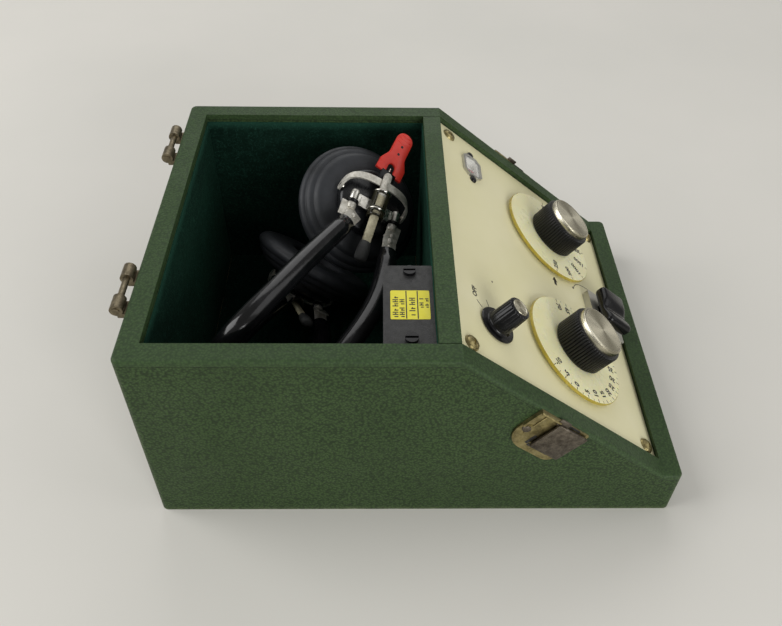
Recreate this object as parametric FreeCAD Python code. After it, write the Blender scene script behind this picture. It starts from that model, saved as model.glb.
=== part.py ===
import FreeCAD, Part
import math
import os

# A portable audiometer in a leathercloth-covered wooden case.  Millimetres.
# Origin: centre of the case's underside.  +X is the operator's right, +Y the
# rear (hinge) side, +Z up.  The instrument panel slopes down towards -Y, and
# the felt-lined compartment behind it holds the headset.

V = FreeCAD.Vector
Rotation = FreeCAD.Rotation
Placement = FreeCAD.Placement
os.makedirs("parts", exist_ok=True)

# ---------------------------------------------------------------- sizes
# case
case_width = 196.0
case_depth = 254.0
case_height = 111.0
flat_top_depth = 142.0      # level rim round the compartment, from the rear face
lip_height = 28.5           # level lip in front of the panel
lip_depth = 9.5
cloth = 0.8                 # leathercloth thickness
cloth_turn_in = 4.5         # how far the cloth is turned down inside the rim
side_board = 8.6
rear_board = 8.4
front_board = 7.9
divider_board = 7.9
base_board = 6.0
corner_radius = 3.2         # upright corners, over the cloth
rim_radius = 1.6            # outer top edges, over the cloth
felt = 1.6
felt_below_rim = 5.0
glue_gap = 0.4              # between a dropped-in piece and the cloth beside it

# instrument panel
panel_recess = 2.8          # panel face below the sloping rim
panel_sheet = 1.6
cleat_width = 10.0
cleat_depth = 10.0
panel_screw_from_side = 17.7
panel_screw_across = case_width - 2 * panel_screw_from_side
panel_screw_upper = 8.9     # down the slope from its top edge
panel_screw_above_lip = 3.9     # up the slope from its foot
panel_screw_shank = 1.8
panel_screw_head = 3.1
panel_screw_length = 11.0
cup_washer_radius = 4.1
cup_washer_height = 1.0

# the two dials
dial_across = 87.6
dial_down = 82.0
disc_radius = 31.5
disc_sheet = 2.0
disc_gap = 1.2              # disc above the panel
knob_radius = 15.2
knob_height = 14.2
knob_land_radius = 14.2
knob_land_height = 0.8
flute_count = 46
flute_depth = 0.75
cap_radius = 13.4
cap_height = 3.0
hub_radius = 6.0
shaft_radius = 3.175
shaft_clearance = 0.05
bush_radius = 4.75
nut_across_flats = 12.0
nut_height = 2.0

# output switch knob
output_across = -59.6
output_down = 26.5
output_flange_radius = 9.85
output_flange_sheet = 1.1
output_flange_gap = 0.4
output_knob_base = 6.3
output_knob_top = 5.8
output_knob_height = 13.6
output_insert_radius = 4.3
output_insert_sheet = 1.4
output_insert_proud = 0.4
grub_hole_radius = 1.0

# tone bar
tone_above_lip = 14.6       # up the slope from its foot
tone_width = 26.0
tone_length = 18.0
tone_height = 7.2
tone_above_bezel = 1.8
tone_corner = 1.6
dish_radius = 15.0
dish_depth = 2.4
dish_offset = 6.5
bezel_width = 29.0
bezel_length = 23.0
bezel_height = 4.0
lever_width = 6.0
lever_length = 8.0
lever_clearance = 1.6
lever_reach = 8.0           # below the pivot
tone_pivot_above_panel = 1.6
pivot_pin_radius = 1.2
tone_switch_depth = 11.6

# battery meter
meter_across = 62.4
meter_down = 24.3
meter_width = 19.0
meter_length = 13.3
meter_chamfer = 3.2
meter_frame = 1.5           # width of the bezel ring
meter_bezel_height = 1.5
meter_window_sheet = 0.9
meter_wall = 1.2
meter_depth = 14.0
meter_cavity = 4.0
meter_lug_across = 23.2
meter_lug_radius = 1.75
meter_lug_height = 1.1
needle_length = 5.6
needle_width = 0.5
needle_sheet = 0.4
needle_hub_radius = 0.9

# behind the panel
switch_plate = 34.0
switch_plate_sheet = 1.2
wafer_radius = 16.5
wafer_sheet = 1.5
wafer_spacing = 8.0
wafer_tags = 12
attenuator_radius = 19.0
attenuator_depth = 20.0
attenuator_tags = 8
tag_length = 3.0
tag_width = 2.4
tag_sheet = 0.5
output_can_radius = 9.5
output_can_depth = 11.0
shaft_below_bush = 18.0
shaft_bore_depth = 40.0

# circuit board
board_width = 124.0
board_depth = 66.0
board_sheet = 1.6
board_centre_y = -64.0
standoff_height = 8.0
standoff_radius = 3.0
board_screw_radius = 1.45
board_screw_head = 2.8
board_screw_inset = 6.0
resistor_radius = 1.2
resistor_length = 6.5
resistor_pitch = 7.0
resistor_count = 8
capacitor_radius = 4.0
capacitor_height = 11.0
capacitor_pitch = 12.0
capacitor_count = 4
transistor_radius = 2.4
transistor_height = 4.6
transistor_pitch = 11.0
transistor_count = 5
transformer_width = 22.0
transformer_depth = 18.0
transformer_height = 15.0

# battery box in the corner of the compartment
battery_box_from_lining = 1.8
battery_box_width = 51.0
battery_box_depth = 23.4
battery_box_top = 104.0
battery_box_wall = 1.6
battery_cover_sheet = 2.0
battery_cover_corner = 1.5
battery_screw_pitch = 42.2
battery_screw_shank = 1.6
battery_screw_head = 2.9
battery_screw_head_height = 1.6
battery_screw_length = 9.0
battery_boss_radius = 3.4
battery_width = 26.5
battery_depth = 17.5
battery_height = 48.5
battery_terminal_radius = 2.9
battery_terminal_height = 2.4

# hinges for the lift-off lid
hinge_pitch = 114.0
hinge_offset = 2.5
hinge_width = 28.0
knuckle_length = 8.0
knuckle_radius = 2.9
hinge_pin_radius = 1.5
hinge_pin_proud = 0.4
hinge_axis_out = 4.2        # behind the rear face
hinge_axis_below_rim = 1.0
hinge_leaf_height = 17.0
hinge_leaf_sheet = 1.2
hinge_screw_shank = 1.2
hinge_screw_head = 2.4
hinge_screw_length = 6.0

# spring catches for the lid, one on each side, set square to the slope
catch_from_top = 47.0       # along the slope from its top edge
catch_length = 30.0
catch_depth = 25.0
catch_below_edge = 0.9
catch_sheet = 1.2
catch_large_corner = 11.0
catch_small_corner = 5.0
slide_length = 16.0
slide_ramp = 4.0
slide_width = 20.0
slide_from_plate_edge = 0.5
slide_height = 3.0
slide_wall = 0.9
slide_gap = 0.4
slide_travel = 6.0
tongue_length = 6.0
tongue_proud = 2.0
stem_length = 5.0
stem_width = 5.0
stem_reach = 3.0
catch_lone_rivet_in = 4.4
catch_lone_rivet_down = 11.8
catch_rivet_in = 3.0
catch_rivet_upper = 4.6
catch_rivet_lower = 18.0
catch_rivet_shank = 1.1
catch_rivet_head = 2.2
catch_rivet_head_height = 0.3
catch_rivet_length = 5.0

# headset
headset_right_of_middle = 25.3  # midway between the two clamps
headset_from_divider = 50.2
headset_above_floor = 50.9
headset_roll = 35.0         # it lies rolled over about X
clamp_back = 3.3            # clamps behind that centre, away from the crown
clamp_half_spread = 44.4
earphone_tilt = 30.5        # how far each earphone turns towards the crown
lower_rod_push = 5.4        # keeps the lower earphone clear of the floor
receiver_shift = -2.9       # earphone axis along the rod from the clamp
cushion_face = 29.6         # ear side, below the clamp centre
cushion_face_radius = 30.0
cushion_steps = ((34.0, 29.0), (36.0, 27.2), (36.0, 24.0), (33.6, 23.2), (33.6, 21.4),
                 (31.0, 20.6), (31.0, 18.6), (28.4, 17.8), (28.4, 15.8), (25.0, 14.6))
cushion_ear_hole = 16.0
receiver_radius = 18.6
receiver_front = 22.0
receiver_back = 9.0
receiver_dome = 1.6
pivot_level = 10.0
pivot_radius = 1.2
pivot_clearance = 0.06
pivot_head_radius = 1.9
pivot_head_height = 1.1
yoke_gap = 0.8
yoke_width = 3.4
yoke_sheet = 1.2
yoke_reach = 12.8           # from the pivots to the middle of the arch
yoke_squareness = 2.4       # exponent of the arch's curve: 2 would be an ellipse
yoke_steps = 24
yoke_ear_width = 5.0
yoke_ear_drop = 2.6
yoke_ear_rise = 3.0
rod_width = 4.6
rod_sheet = 1.6
rod_back = 15.4
rod_forward = 31.0
rod_clearance = 0.05
yoke_rivet_radius = 1.2
tip_start = 24.0
tip_length = 11.5
tip_width = 7.4
tip_height = 5.4
barrel_radius = 4.6
barrel_bore = 3.6
barrel_back = 5.0
barrel_front = 9.6
front_collar_at = 5.6
barrel_window_back = 3.6
barrel_window_front = 4.2
barrel_window_width = 4.0
collar_radius = 5.0
collar_length = 0.8
guide_length = 1.6
guide_inset = 1.0
wing_level = 3.8
wing_sheet = 1.2
wing_back = 0.6
wing_front = 5.8
lug_spacing = 26.0
lug_radius = 2.6
lug_back = 1.8
lug_front = 4.4
lug_pin_radius = 1.0
washer_length = 1.4
washer_rim = 0.3
base_plate_start = 6.0
base_plate_length = 9.0
base_plate_width = 8.4
base_plate_offset = 1.6
end_plate_sheet = 1.0
end_knuckle_length = 3.6
rivet_plate_length = 10.5
rivet_plate_width = 6.2
rivet_pitch = 5.4
rivet_setback = 2.4
rivet_radius = 1.1
rivet_head_radius = 1.7
rivet_head_height = 0.5
sleeve_radius = 5.4
sleeve_grip = 3.0           # length of rivet plate inside each sleeve end
# sleeve centre lines from a clamp to the crown: towards the crown, across, and out from the middle
rear_band = ((12.0, -13.2, 34.1), (30.0, -22.6, 30.6), (50.0, -32.4, 27.0), (70.0, -41.6, 22.5),
             (85.0, -49.0, 17.0), (94.0, -53.4, 9.0))
front_band = ((16.5, 13.6, 33.2), (30.0, 13.6, 30.6), (50.0, 11.3, 27.0), (70.0, 4.6, 22.5),
              (85.0, -2.0, 17.0), (94.0, -5.8, 9.0))
tab_sheet = 2.0
tab_length = 31.0
tab_base_width = 16.4
tab_shoulder = 12.0
tab_neck_width = 10.0
tab_slope_upper = -2.0      # in line with the rod, a little up
tab_slope_lower = 11.0
tab_skew = 7.0
tab_start = 14.6
tab_foot = 4.0
tab_tongue_length = 6.0
tab_tongue_width = 7.0
tab_hole_radius = 0.6
tab_hole_offsets = (17.5, 22.5)
tab_notch_radius = 2.4

# ---------------------------------------------------------------- derived
half_width = case_width / 2
half_depth = case_depth / 2
slope_top_y = half_depth - flat_top_depth
lip_inner_y = -half_depth + lip_depth
slope_angle = math.atan2(case_height - lip_height, slope_top_y - lip_inner_y)
sin_slope = math.sin(slope_angle)
cos_slope = math.cos(slope_angle)
slope_length = (case_height - lip_height) / sin_slope
panel_screw_lower = slope_length - panel_screw_above_lip
board_inner_x = half_width - cloth - side_board
cloth_inner_x = board_inner_x - cloth
rear_board_inner_y = half_depth - cloth - rear_board
rear_cloth_inner_y = rear_board_inner_y - cloth
front_board_inner_y = -half_depth + cloth + front_board
divider_front_y = slope_top_y
divider_board_front_y = divider_front_y + cloth
divider_board_rear_y = divider_board_front_y + divider_board
divider_rear_y = divider_board_rear_y + cloth
felt_x = board_inner_x - felt
panel_face = -panel_recess
panel_under = -panel_recess - panel_sheet
disc_under = panel_face + disc_gap
disc_top = disc_under + disc_sheet

panel_frame = Placement(V(0, slope_top_y, case_height),
                        Rotation(V(1, 0, 0), math.degrees(slope_angle)))


def frame(origin, x_axis, y_axis, z_axis):
    matrix = FreeCAD.Matrix(
        x_axis.x, y_axis.x, z_axis.x, origin.x,
        x_axis.y, y_axis.y, z_axis.y, origin.y,
        x_axis.z, y_axis.z, z_axis.z, origin.z,
        0, 0, 0, 1)
    return Placement(matrix)


catch_frame = frame(V(half_width, slope_top_y, case_height),
                    V(0, -cos_slope, -sin_slope),
                    V(0, sin_slope, -cos_slope),
                    V(1, 0, 0))
headset_centre = V(headset_right_of_middle, divider_rear_y + headset_from_divider,
                   base_board + felt + headset_above_floor)
headset_frame = Placement(headset_centre,
                          Rotation(V(1, 0, 0), headset_roll) * Rotation(V(0, 0, 1), 180))
clamp_in_headset = Placement(V(-clamp_back, 0, clamp_half_spread),
                             Rotation(V(0, 1, 0), earphone_tilt))
clamp_frame = headset_frame * clamp_in_headset
mid_plane_normal = headset_frame.Rotation.multVec(V(0, 0, 1))


# ---------------------------------------------------------------- helpers
def box(x0, x1, y0, y1, z0, z1):
    return Part.makeBox(x1 - x0, y1 - y0, z1 - z0, V(x0, y0, z0))


def cylinder(radius, z0, z1, x=0.0, y=0.0):
    return Part.makeCylinder(radius, z1 - z0, V(x, y, z0), V(0, 0, 1))


def cylinder_along(axis, radius, start, length):
    return Part.makeCylinder(radius, length, start, axis)


def cone(base_radius, top_radius, z0, z1, x=0.0, y=0.0):
    return Part.makeCone(base_radius, top_radius, z1 - z0, V(x, y, z0), V(0, 0, 1))


def polygon_face(points):
    return Part.Face(Part.makePolygon(list(points) + [points[0]]))


def prism(points, direction):
    return polygon_face(points).extrude(direction)


def fuse_all(shapes):
    whole = shapes[0]
    for shape in shapes[1:]:
        whole = whole.fuse(shape)
    return whole.removeSplitter()


def cut_all(shape, tools):
    for tool in tools:
        shape = shape.cut(tool)
    return shape


def placed(shape, placement):
    moved = shape.copy()
    moved.Placement = placement * moved.Placement
    return moved


def rounded_block(x0, x1, y0, y1, z0, z1, radius):
    block = box(x0, x1, y0, y1, z0, z1)
    uprights = [edge for edge in block.Edges
                if edge.tangentAt(edge.FirstParameter).cross(V(0, 0, 1)).Length < 1e-6]
    return block.makeFillet(radius, uprights)


def hexagon(across_flats, z0, z1, x=0.0, y=0.0):
    corner = across_flats / math.sqrt(3)
    points = []
    for step in range(6):
        turn = math.radians(60 * step)
        points.append(V(x + corner * math.cos(turn), y + corner * math.sin(turn), z0))
    return prism(points, V(0, 0, z1 - z0))


def revolve(profile, x=0.0, y=0.0):
    """Solid of (radius, height) points turned about an axis parallel to Z."""
    points = [V(x + radius, y, height) for radius, height in profile]
    return polygon_face(points).revolve(V(x, y, 0), V(0, 0, 1), 360)


def rounded_path(points, share=0.45):
    """Straight runs through the points, joined by tangent arcs."""
    edges = []
    start = points[0]
    for before, corner, after in zip(points, points[1:], points[2:]):
        into = (corner - before).normalize()
        out = (after - corner).normalize()
        run = min((corner - before).Length, (after - corner).Length)
        setback = share * run
        half_turn = into.getAngle(out) / 2
        arc_radius = setback / math.tan(half_turn)
        arc_start = corner - into * setback
        arc_end = corner + out * setback
        inwards = (out - into).normalize()
        centre = corner + inwards * (arc_radius / math.cos(half_turn))
        arc_middle = centre - inwards * arc_radius
        edges.append(Part.LineSegment(start, arc_start).toShape())
        edges.append(Part.Arc(arc_start, arc_middle, arc_end).toShape())
        start = arc_end
    edges.append(Part.LineSegment(start, points[-1]).toShape())
    return Part.Wire(edges)


def tube_along(points, radius):
    path = rounded_path(points)
    direction = (points[1] - points[0]).normalize()
    section = Part.Wire(Part.makeCircle(radius, points[0], direction))
    return path.makePipeShell([section], True, False)


def on_panel(shape):
    return placed(shape, panel_frame)


def on_headset(shape, push=0.0):
    """Place a piece of the upper end, pushed this far along its rod."""
    return placed(shape, clamp_frame * Placement(V(push, 0, 0), Rotation()))


def lower_half(shape):
    return shape.mirror(headset_centre, mid_plane_normal)


nodes = {}


def keep(name, *shapes):
    solids = [solid for shape in shapes for solid in shape.Solids]
    nodes[name] = solids


# ---------------------------------------------------------------- case
def case_outline(inset, drop=0.0):
    """Side view of the case, drawn in by inset everywhere except underneath."""
    rear = half_depth - inset
    top = case_height - inset
    lip = lip_height - inset
    edge_y = slope_top_y + inset * sin_slope
    edge_z = case_height - inset * cos_slope
    slope_y_at_top = edge_y - (edge_z - top) / math.tan(slope_angle)
    slope_y_at_lip = edge_y - (edge_z - lip) / math.tan(slope_angle)
    outline = [(rear, 0), (rear, top), (slope_y_at_top, top), (slope_y_at_lip, lip), (-rear, lip), (-rear, 0)]
    return [(y, z - drop if z > 0 else z) for y, z in outline]


def case_prism(inset, drop=0.0):
    reach = half_width - inset
    points = [V(-reach, y, z) for y, z in case_outline(inset, drop)]
    return prism(points, V(2 * reach, 0, 0))


def upright_corner_edges(shape):
    found = []
    for edge in shape.Edges:
        along = edge.Vertexes[-1].Point - edge.Vertexes[0].Point
        if abs(along.x) < 1e-6 and abs(along.y) < 1e-6:
            found.append(edge)
    return found


def rim_edges(shape, reach):
    """Outer edges of the top, slope and lip that run lengthways on the two sides, and across the ends."""
    found = []
    for edge in shape.Edges:
        points = [vertex.Point for vertex in edge.Vertexes]
        if len(points) < 2 or min(point.z for point in points) < lip_height - 1:
            continue
        middle = edge.valueAt((edge.FirstParameter + edge.LastParameter) / 2)
        beside = abs(abs(middle.x) - reach) < 0.01
        behind = abs(middle.y - half_depth) < 0.01 and abs(middle.z - case_height) < 0.01
        ahead = abs(middle.y + half_depth) < 0.01 and abs(middle.z - lip_height) < 0.01
        rounded = isinstance(edge.Curve, Part.Circle)
        if beside or behind or ahead or rounded:
            found.append(edge)
    return found


outer_block = case_prism(0)
outer_block = outer_block.makeFillet(corner_radius, upright_corner_edges(outer_block))
outer_block = outer_block.makeFillet(rim_radius, rim_edges(outer_block, half_width))
core_block = case_prism(cloth)
core_block = core_block.makeFillet(corner_radius - cloth, upright_corner_edges(core_block))

# fasteners that enter the boards are placed first, so the boards can be drilled for them
hinge_centres = [hinge_offset - hinge_pitch / 2, hinge_offset + hinge_pitch / 2]
hinge_axis_y = half_depth + hinge_axis_out
hinge_axis_z = case_height - hinge_axis_below_rim
hinge_leaf_top = hinge_axis_z - knuckle_radius


def make_hinge(centre):
    leaf = box(centre - hinge_width / 2, centre + hinge_width / 2, half_depth, half_depth + hinge_leaf_sheet,
               hinge_leaf_top - hinge_leaf_height, hinge_leaf_top)
    pieces = [leaf]
    for side in (-1, 1):
        outer_end = centre + side * hinge_width / 2
        x0 = min(outer_end, outer_end - side * knuckle_length)
        knuckle = cylinder_along(V(1, 0, 0), knuckle_radius, V(x0, hinge_axis_y, hinge_axis_z),
                                 knuckle_length)
        web = box(x0, x0 + knuckle_length, half_depth, hinge_axis_y,
                  hinge_leaf_top - hinge_leaf_sheet, hinge_leaf_top + hinge_leaf_sheet)
        pieces += [knuckle, web]
    leaf = fuse_all(pieces)
    pin_length = hinge_width + 2 * hinge_pin_proud
    pin = cylinder_along(V(1, 0, 0), hinge_pin_radius,
                         V(centre - pin_length / 2, hinge_axis_y, hinge_axis_z), pin_length)
    leaf = leaf.cut(pin)
    screws = []
    for dx, level in ((-0.33, 0.35), (0.33, 0.35), (0, 0.78)):
        x = centre + dx * hinge_width
        z = hinge_leaf_top - level * hinge_leaf_height
        face = half_depth + hinge_leaf_sheet
        shank = cylinder_along(V(0, -1, 0), hinge_screw_shank, V(x, face, z), hinge_screw_length)
        head = Part.makeCone(hinge_screw_head, hinge_screw_shank, hinge_leaf_sheet, V(x, face, z),
                             V(0, -1, 0))
        screws.append(shank.fuse(head))
    leaf = cut_all(leaf, screws)
    return leaf, pin, screws


hinge_leaves = []
hinge_pins = []
hinge_screws = []
for hinge_centre in hinge_centres:
    leaf, pin, screws = make_hinge(hinge_centre)
    hinge_leaves.append(leaf)
    hinge_pins.append(pin)
    hinge_screws += screws

# catches, modelled on the right side and mirrored to the left
catch_end = catch_from_top + catch_length
slide_end = catch_end - 0.6
slide_start = slide_end - slide_length
slide_top = catch_below_edge + slide_from_plate_edge
slide_middle = slide_top + slide_width / 2
stem_start = slide_end - slide_length / 2
catch_pocket = box(stem_start - slide_travel - 1.0, stem_start + stem_length + 1.0,
                   slide_middle - stem_width / 2 - 0.6, slide_middle + stem_width / 2 + 0.6,
                   -stem_reach - 1.0, catch_sheet + 0.1)


def make_catch_plate():
    plate = box(catch_from_top, catch_end, catch_below_edge, catch_below_edge + catch_depth, 0, catch_sheet)
    uprights = [edge for edge in plate.Edges
                if edge.tangentAt(edge.FirstParameter).cross(V(0, 0, 1)).Length < 1e-6
                and edge.Vertexes[0].Point.y > catch_below_edge + 1]
    near_top = [edge for edge in uprights if edge.Vertexes[0].Point.x < catch_from_top + 1]
    near_bottom = [edge for edge in uprights if edge.Vertexes[0].Point.x > catch_from_top + 1]
    plate = plate.makeFillet(catch_large_corner, near_top)
    far_corner = [edge for edge in plate.Edges
                  if edge.tangentAt(edge.FirstParameter).cross(V(0, 0, 1)).Length < 1e-6
                  and edge.Vertexes[0].Point.isEqual(near_bottom[0].Vertexes[0].Point, 1e-4)]
    plate = plate.makeFillet(catch_small_corner, far_corner)
    border = box(catch_from_top, catch_from_top + 1.4, catch_below_edge, catch_below_edge + 12.0,
                 catch_sheet, catch_sheet + 0.8)
    return plate.fuse(border).removeSplitter()


def make_catch_rivet(s, depth):
    shank = cylinder(catch_rivet_shank, catch_sheet - catch_rivet_length, catch_sheet, s, depth)
    head = cylinder(catch_rivet_head, catch_sheet, catch_sheet + catch_rivet_head_height, s, depth)
    return shank.fuse(head)


def make_catch_slide():
    level = catch_sheet + slide_gap
    side = [V(slide_start - slide_ramp, slide_top, level),
            V(slide_start, slide_top, level + slide_height),
            V(slide_end, slide_top, level + slide_height),
            V(slide_end, slide_top, level)]
    body = prism(side, V(0, slide_width, 0))
    hollow = box(slide_start + slide_wall, slide_end - slide_wall, slide_top + slide_wall,
                 slide_top + slide_width - slide_wall, level - 1, level + slide_height - slide_wall)
    stem = box(stem_start, stem_start + stem_length, slide_middle - stem_width / 2,
               slide_middle + stem_width / 2, -stem_reach, level + slide_height - slide_wall)
    tongue = box(slide_start - slide_ramp + 1.0, slide_start - slide_ramp + 1.0 + tongue_length,
                 catch_below_edge - tongue_proud, slide_top + slide_wall,
                 level + 0.1, level + 1.0)
    return fuse_all([body.cut(hollow), stem, tongue])


rivet_spots = [(catch_from_top + catch_lone_rivet_in, catch_below_edge + catch_lone_rivet_down),
               (slide_start + catch_rivet_in, catch_below_edge + catch_rivet_upper),
               (slide_start + catch_rivet_in, catch_below_edge + catch_rivet_lower)]
catch_rivets = [make_catch_rivet(s, depth) for s, depth in rivet_spots]
catch_plate = cut_all(make_catch_plate(), catch_rivets + [catch_pocket])
catch_slide = make_catch_slide()
catch_cutters = [placed(shape, catch_frame) for shape in catch_rivets + [catch_pocket]]


def mirror_left(shape):
    return shape.mirror(V(0, 0, 0), V(1, 0, 0))


for side_name, flip in (("right", False), ("left", True)):
    pieces = [placed(shape, catch_frame) for shape in [catch_plate] + catch_rivets]
    slide = placed(catch_slide, catch_frame)
    if flip:
        pieces = [mirror_left(shape) for shape in pieces]
        slide = mirror_left(slide)
    keep("catch_plate_" + side_name, *pieces)
    keep("catch_slide_" + side_name, slide)

# panel screws sit in cup washers and enter the cleats
panel_screw_spots = [(side * panel_screw_across / 2, -down)
                     for side in (-1, 1) for down in (panel_screw_upper, panel_screw_lower)]


def make_panel_screw(x, y):
    seat = panel_face + cup_washer_height
    shank = cylinder(panel_screw_shank, seat - panel_screw_length, seat, x, y)
    head = Part.makeSphere(panel_screw_head * 1.6, V(x, y, seat - panel_screw_head * 1.25))
    cap = cylinder(panel_screw_head, seat, seat + 4, x, y).common(head)
    slot = box(x - panel_screw_head, x + panel_screw_head, y - 0.45, y + 0.45, seat + 0.6, seat + 4)
    return shank.fuse(cap).cut(slot).removeSplitter()


def make_cup_washer(x, y):
    ring = cone(cup_washer_radius, panel_screw_head + 0.4, panel_face, panel_face + cup_washer_height, x, y)
    return ring.cut(cylinder(panel_screw_shank, panel_face - 1, panel_face + 3, x, y))


panel_screws = [make_panel_screw(x, y) for x, y in panel_screw_spots]
cup_washers = [make_cup_washer(x, y) for x, y in panel_screw_spots]
placed_panel_screws = [on_panel(screw) for screw in panel_screws]
keep("panel_screws", *(placed_panel_screws + [on_panel(washer) for washer in cup_washers]))

# boards
side_room = box(board_inner_x, half_width, -half_depth, half_depth, 0, case_height)
side_board_right = core_block.common(side_room)
side_board_left = mirror_left(side_board_right)
for cutter in catch_cutters:
    side_board_right = side_board_right.cut(cutter)
    side_board_left = side_board_left.cut(mirror_left(cutter))
rear_board_solid = core_block.common(
    box(-board_inner_x, board_inner_x, rear_board_inner_y, half_depth, 0, case_height))
rear_board_solid = cut_all(rear_board_solid, hinge_screws)
front_board_solid = core_block.common(
    box(-board_inner_x, board_inner_x, -half_depth, front_board_inner_y, 0, case_height))
divider_half = cloth_inner_x - glue_gap
divider_solid = box(-divider_half, divider_half, divider_board_front_y, divider_board_rear_y,
                    base_board, case_height - cloth)
base_solid = box(-board_inner_x, board_inner_x, front_board_inner_y, rear_board_inner_y, 0, base_board)

keep("side_board_right", side_board_right)
keep("side_board_left", side_board_left)
keep("rear_board", rear_board_solid)
keep("front_board", front_board_solid)
keep("divider_board", cut_all(divider_solid, placed_panel_screws))

# leathercloth: over the outside and the rim, and turned down inside
cavity = box(-cloth_inner_x, cloth_inner_x, lip_inner_y, rear_cloth_inner_y, -1, case_height + 1)
cloth_skin = outer_block.cut(core_block).cut(cavity)
turn_in_room = box(-board_inner_x, board_inner_x, front_board_inner_y, rear_board_inner_y, 0, case_height)
turn_in = turn_in_room.cut(cavity).common(case_prism(0)).cut(case_prism(0, cloth_turn_in))
case_cloth = cut_all(cloth_skin.fuse(turn_in).removeSplitter(), hinge_screws)
for cutter in catch_cutters:
    case_cloth = case_cloth.cut(cutter).cut(mirror_left(cutter))
divider_cloth = box(-divider_half, divider_half, divider_front_y, divider_rear_y,
                    case_height - 3 * cloth_turn_in, case_height)
divider_cloth = divider_cloth.cut(divider_solid)
divider_cloth = divider_cloth.cut(box(-divider_half, divider_half, divider_board_rear_y, divider_rear_y,
                                      0, case_height - cloth_turn_in))
keep("case_covering", case_cloth, cut_all(divider_cloth, placed_panel_screws))
keep("hinge_leaves", *hinge_leaves)
keep("hinge_pins", *hinge_pins)
keep("hinge_screws", *hinge_screws)

# felt: four walls and the floor of the compartment
felt_top = case_height - felt_below_rim
floor_top = base_board + felt
box_y0 = divider_board_rear_y
box_y1 = box_y0 + battery_box_depth
box_x1 = battery_box_from_lining + battery_box_width - felt_x
box_x0 = box_x1 - battery_box_width
felt_floor = box(-board_inner_x, board_inner_x, divider_board_rear_y, rear_board_inner_y,
                 base_board, floor_top)
felt_floor = felt_floor.cut(box(box_x0, box_x1, box_y0, box_y1, 0, case_height))
felt_rear = box(-board_inner_x, board_inner_x, rear_board_inner_y - felt, rear_board_inner_y,
                floor_top, felt_top)
felt_right = box(felt_x, board_inner_x, divider_board_rear_y, rear_board_inner_y - felt, floor_top, felt_top)
felt_left = mirror_left(felt_right)
felt_divider = box(box_x1 + glue_gap, felt_x, divider_board_rear_y, divider_board_rear_y + felt,
                   floor_top, felt_top)
keep("felt_lining", felt_floor, felt_rear, felt_right, felt_left, felt_divider)

# cleats that carry the panel
bay = box(-board_inner_x, board_inner_x, front_board_inner_y, divider_front_y - glue_gap,
          base_board, case_height)
cleats = []
for side in (-1, 1):
    x0 = min(side * board_inner_x, side * (board_inner_x - cleat_width))
    cleat = on_panel(box(x0, x0 + cleat_width, -slope_length, 0, panel_under - cleat_depth, panel_under))
    cleats.append(cut_all(cleat.common(bay), placed_panel_screws))
keep("panel_cleats", *cleats)


# ---------------------------------------------------------------- panel and its controls
def meter_octagon(grow, z0, z1):
    x = meter_width / 2 + grow
    y = meter_length / 2 + grow
    cut = meter_chamfer + 0.59 * grow
    corners = [(x, y - cut), (x - cut, y), (-x + cut, y), (-x, y - cut),
               (-x, -y + cut), (-x + cut, -y), (x - cut, -y), (x, -y + cut)]
    points = [V(meter_across + cx, -meter_down + cy, z0) for cx, cy in corners]
    return prism(points, V(0, 0, z1 - z0))


dial_spots = {"level": (-dial_across / 2, -dial_down), "frequency": (dial_across / 2, -dial_down)}
output_spot = (output_across, -output_down)
tone_y = tone_above_lip - slope_length
meter_hole = meter_octagon(-meter_frame / 2, panel_under - 1, panel_face + 1)
lever_slot = box(-lever_width / 2 - lever_clearance, lever_width / 2 + lever_clearance,
                 tone_y - lever_length / 2 - lever_clearance, tone_y + lever_length / 2 + lever_clearance,
                 panel_under - lever_reach, panel_face + bezel_height + 1)
lug_spots = [(meter_across + side * meter_lug_across / 2, -meter_down) for side in (-1, 1)]
meter_screws = []
for x, y in lug_spots:
    shank = cylinder(0.9, panel_under - 4, panel_face, x, y)
    head = cylinder(meter_lug_radius, panel_face, panel_face + meter_lug_height, x, y)
    meter_screws.append(shank.fuse(head))

panel_slab = on_panel(box(-cloth_inner_x + glue_gap, cloth_inner_x - glue_gap, -slope_length - 10, 10,
                          panel_under, panel_face))
panel_room = box(-half_width, half_width, lip_inner_y + glue_gap, divider_front_y - glue_gap / 2,
                 0, case_height)
panel_tools = [meter_hole, lever_slot] + panel_screws + meter_screws
for x, y in list(dial_spots.values()) + [output_spot]:
    panel_tools.append(cylinder(bush_radius, panel_under - 1, panel_face + 1, x, y))
control_panel = cut_all(panel_slab.common(panel_room), [on_panel(tool) for tool in panel_tools])
keep("control_panel", control_panel)


def make_bush(x, y, top):
    nut_top = panel_under
    sleeve = cylinder(bush_radius, nut_top - nut_height - switch_plate_sheet, top, x, y)
    nut = hexagon(nut_across_flats, nut_top - nut_height, nut_top, x, y)
    bore = cylinder(shaft_radius + shaft_clearance, nut_top - shaft_bore_depth, top + 1, x, y)
    return sleeve.fuse(nut).cut(bore).removeSplitter()


def fluted_ring(radius, depth, count, z0, z1, x, y):
    points = []
    for step in range(count):
        for share, level in ((0.0, radius), (0.42, radius), (0.56, radius - depth), (0.86, radius - depth)):
            turn = 2 * math.pi * (step + share) / count
            points.append(V(x + level * math.cos(turn), y + level * math.sin(turn), z0))
    return prism(points, V(0, 0, z1 - z0))


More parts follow.
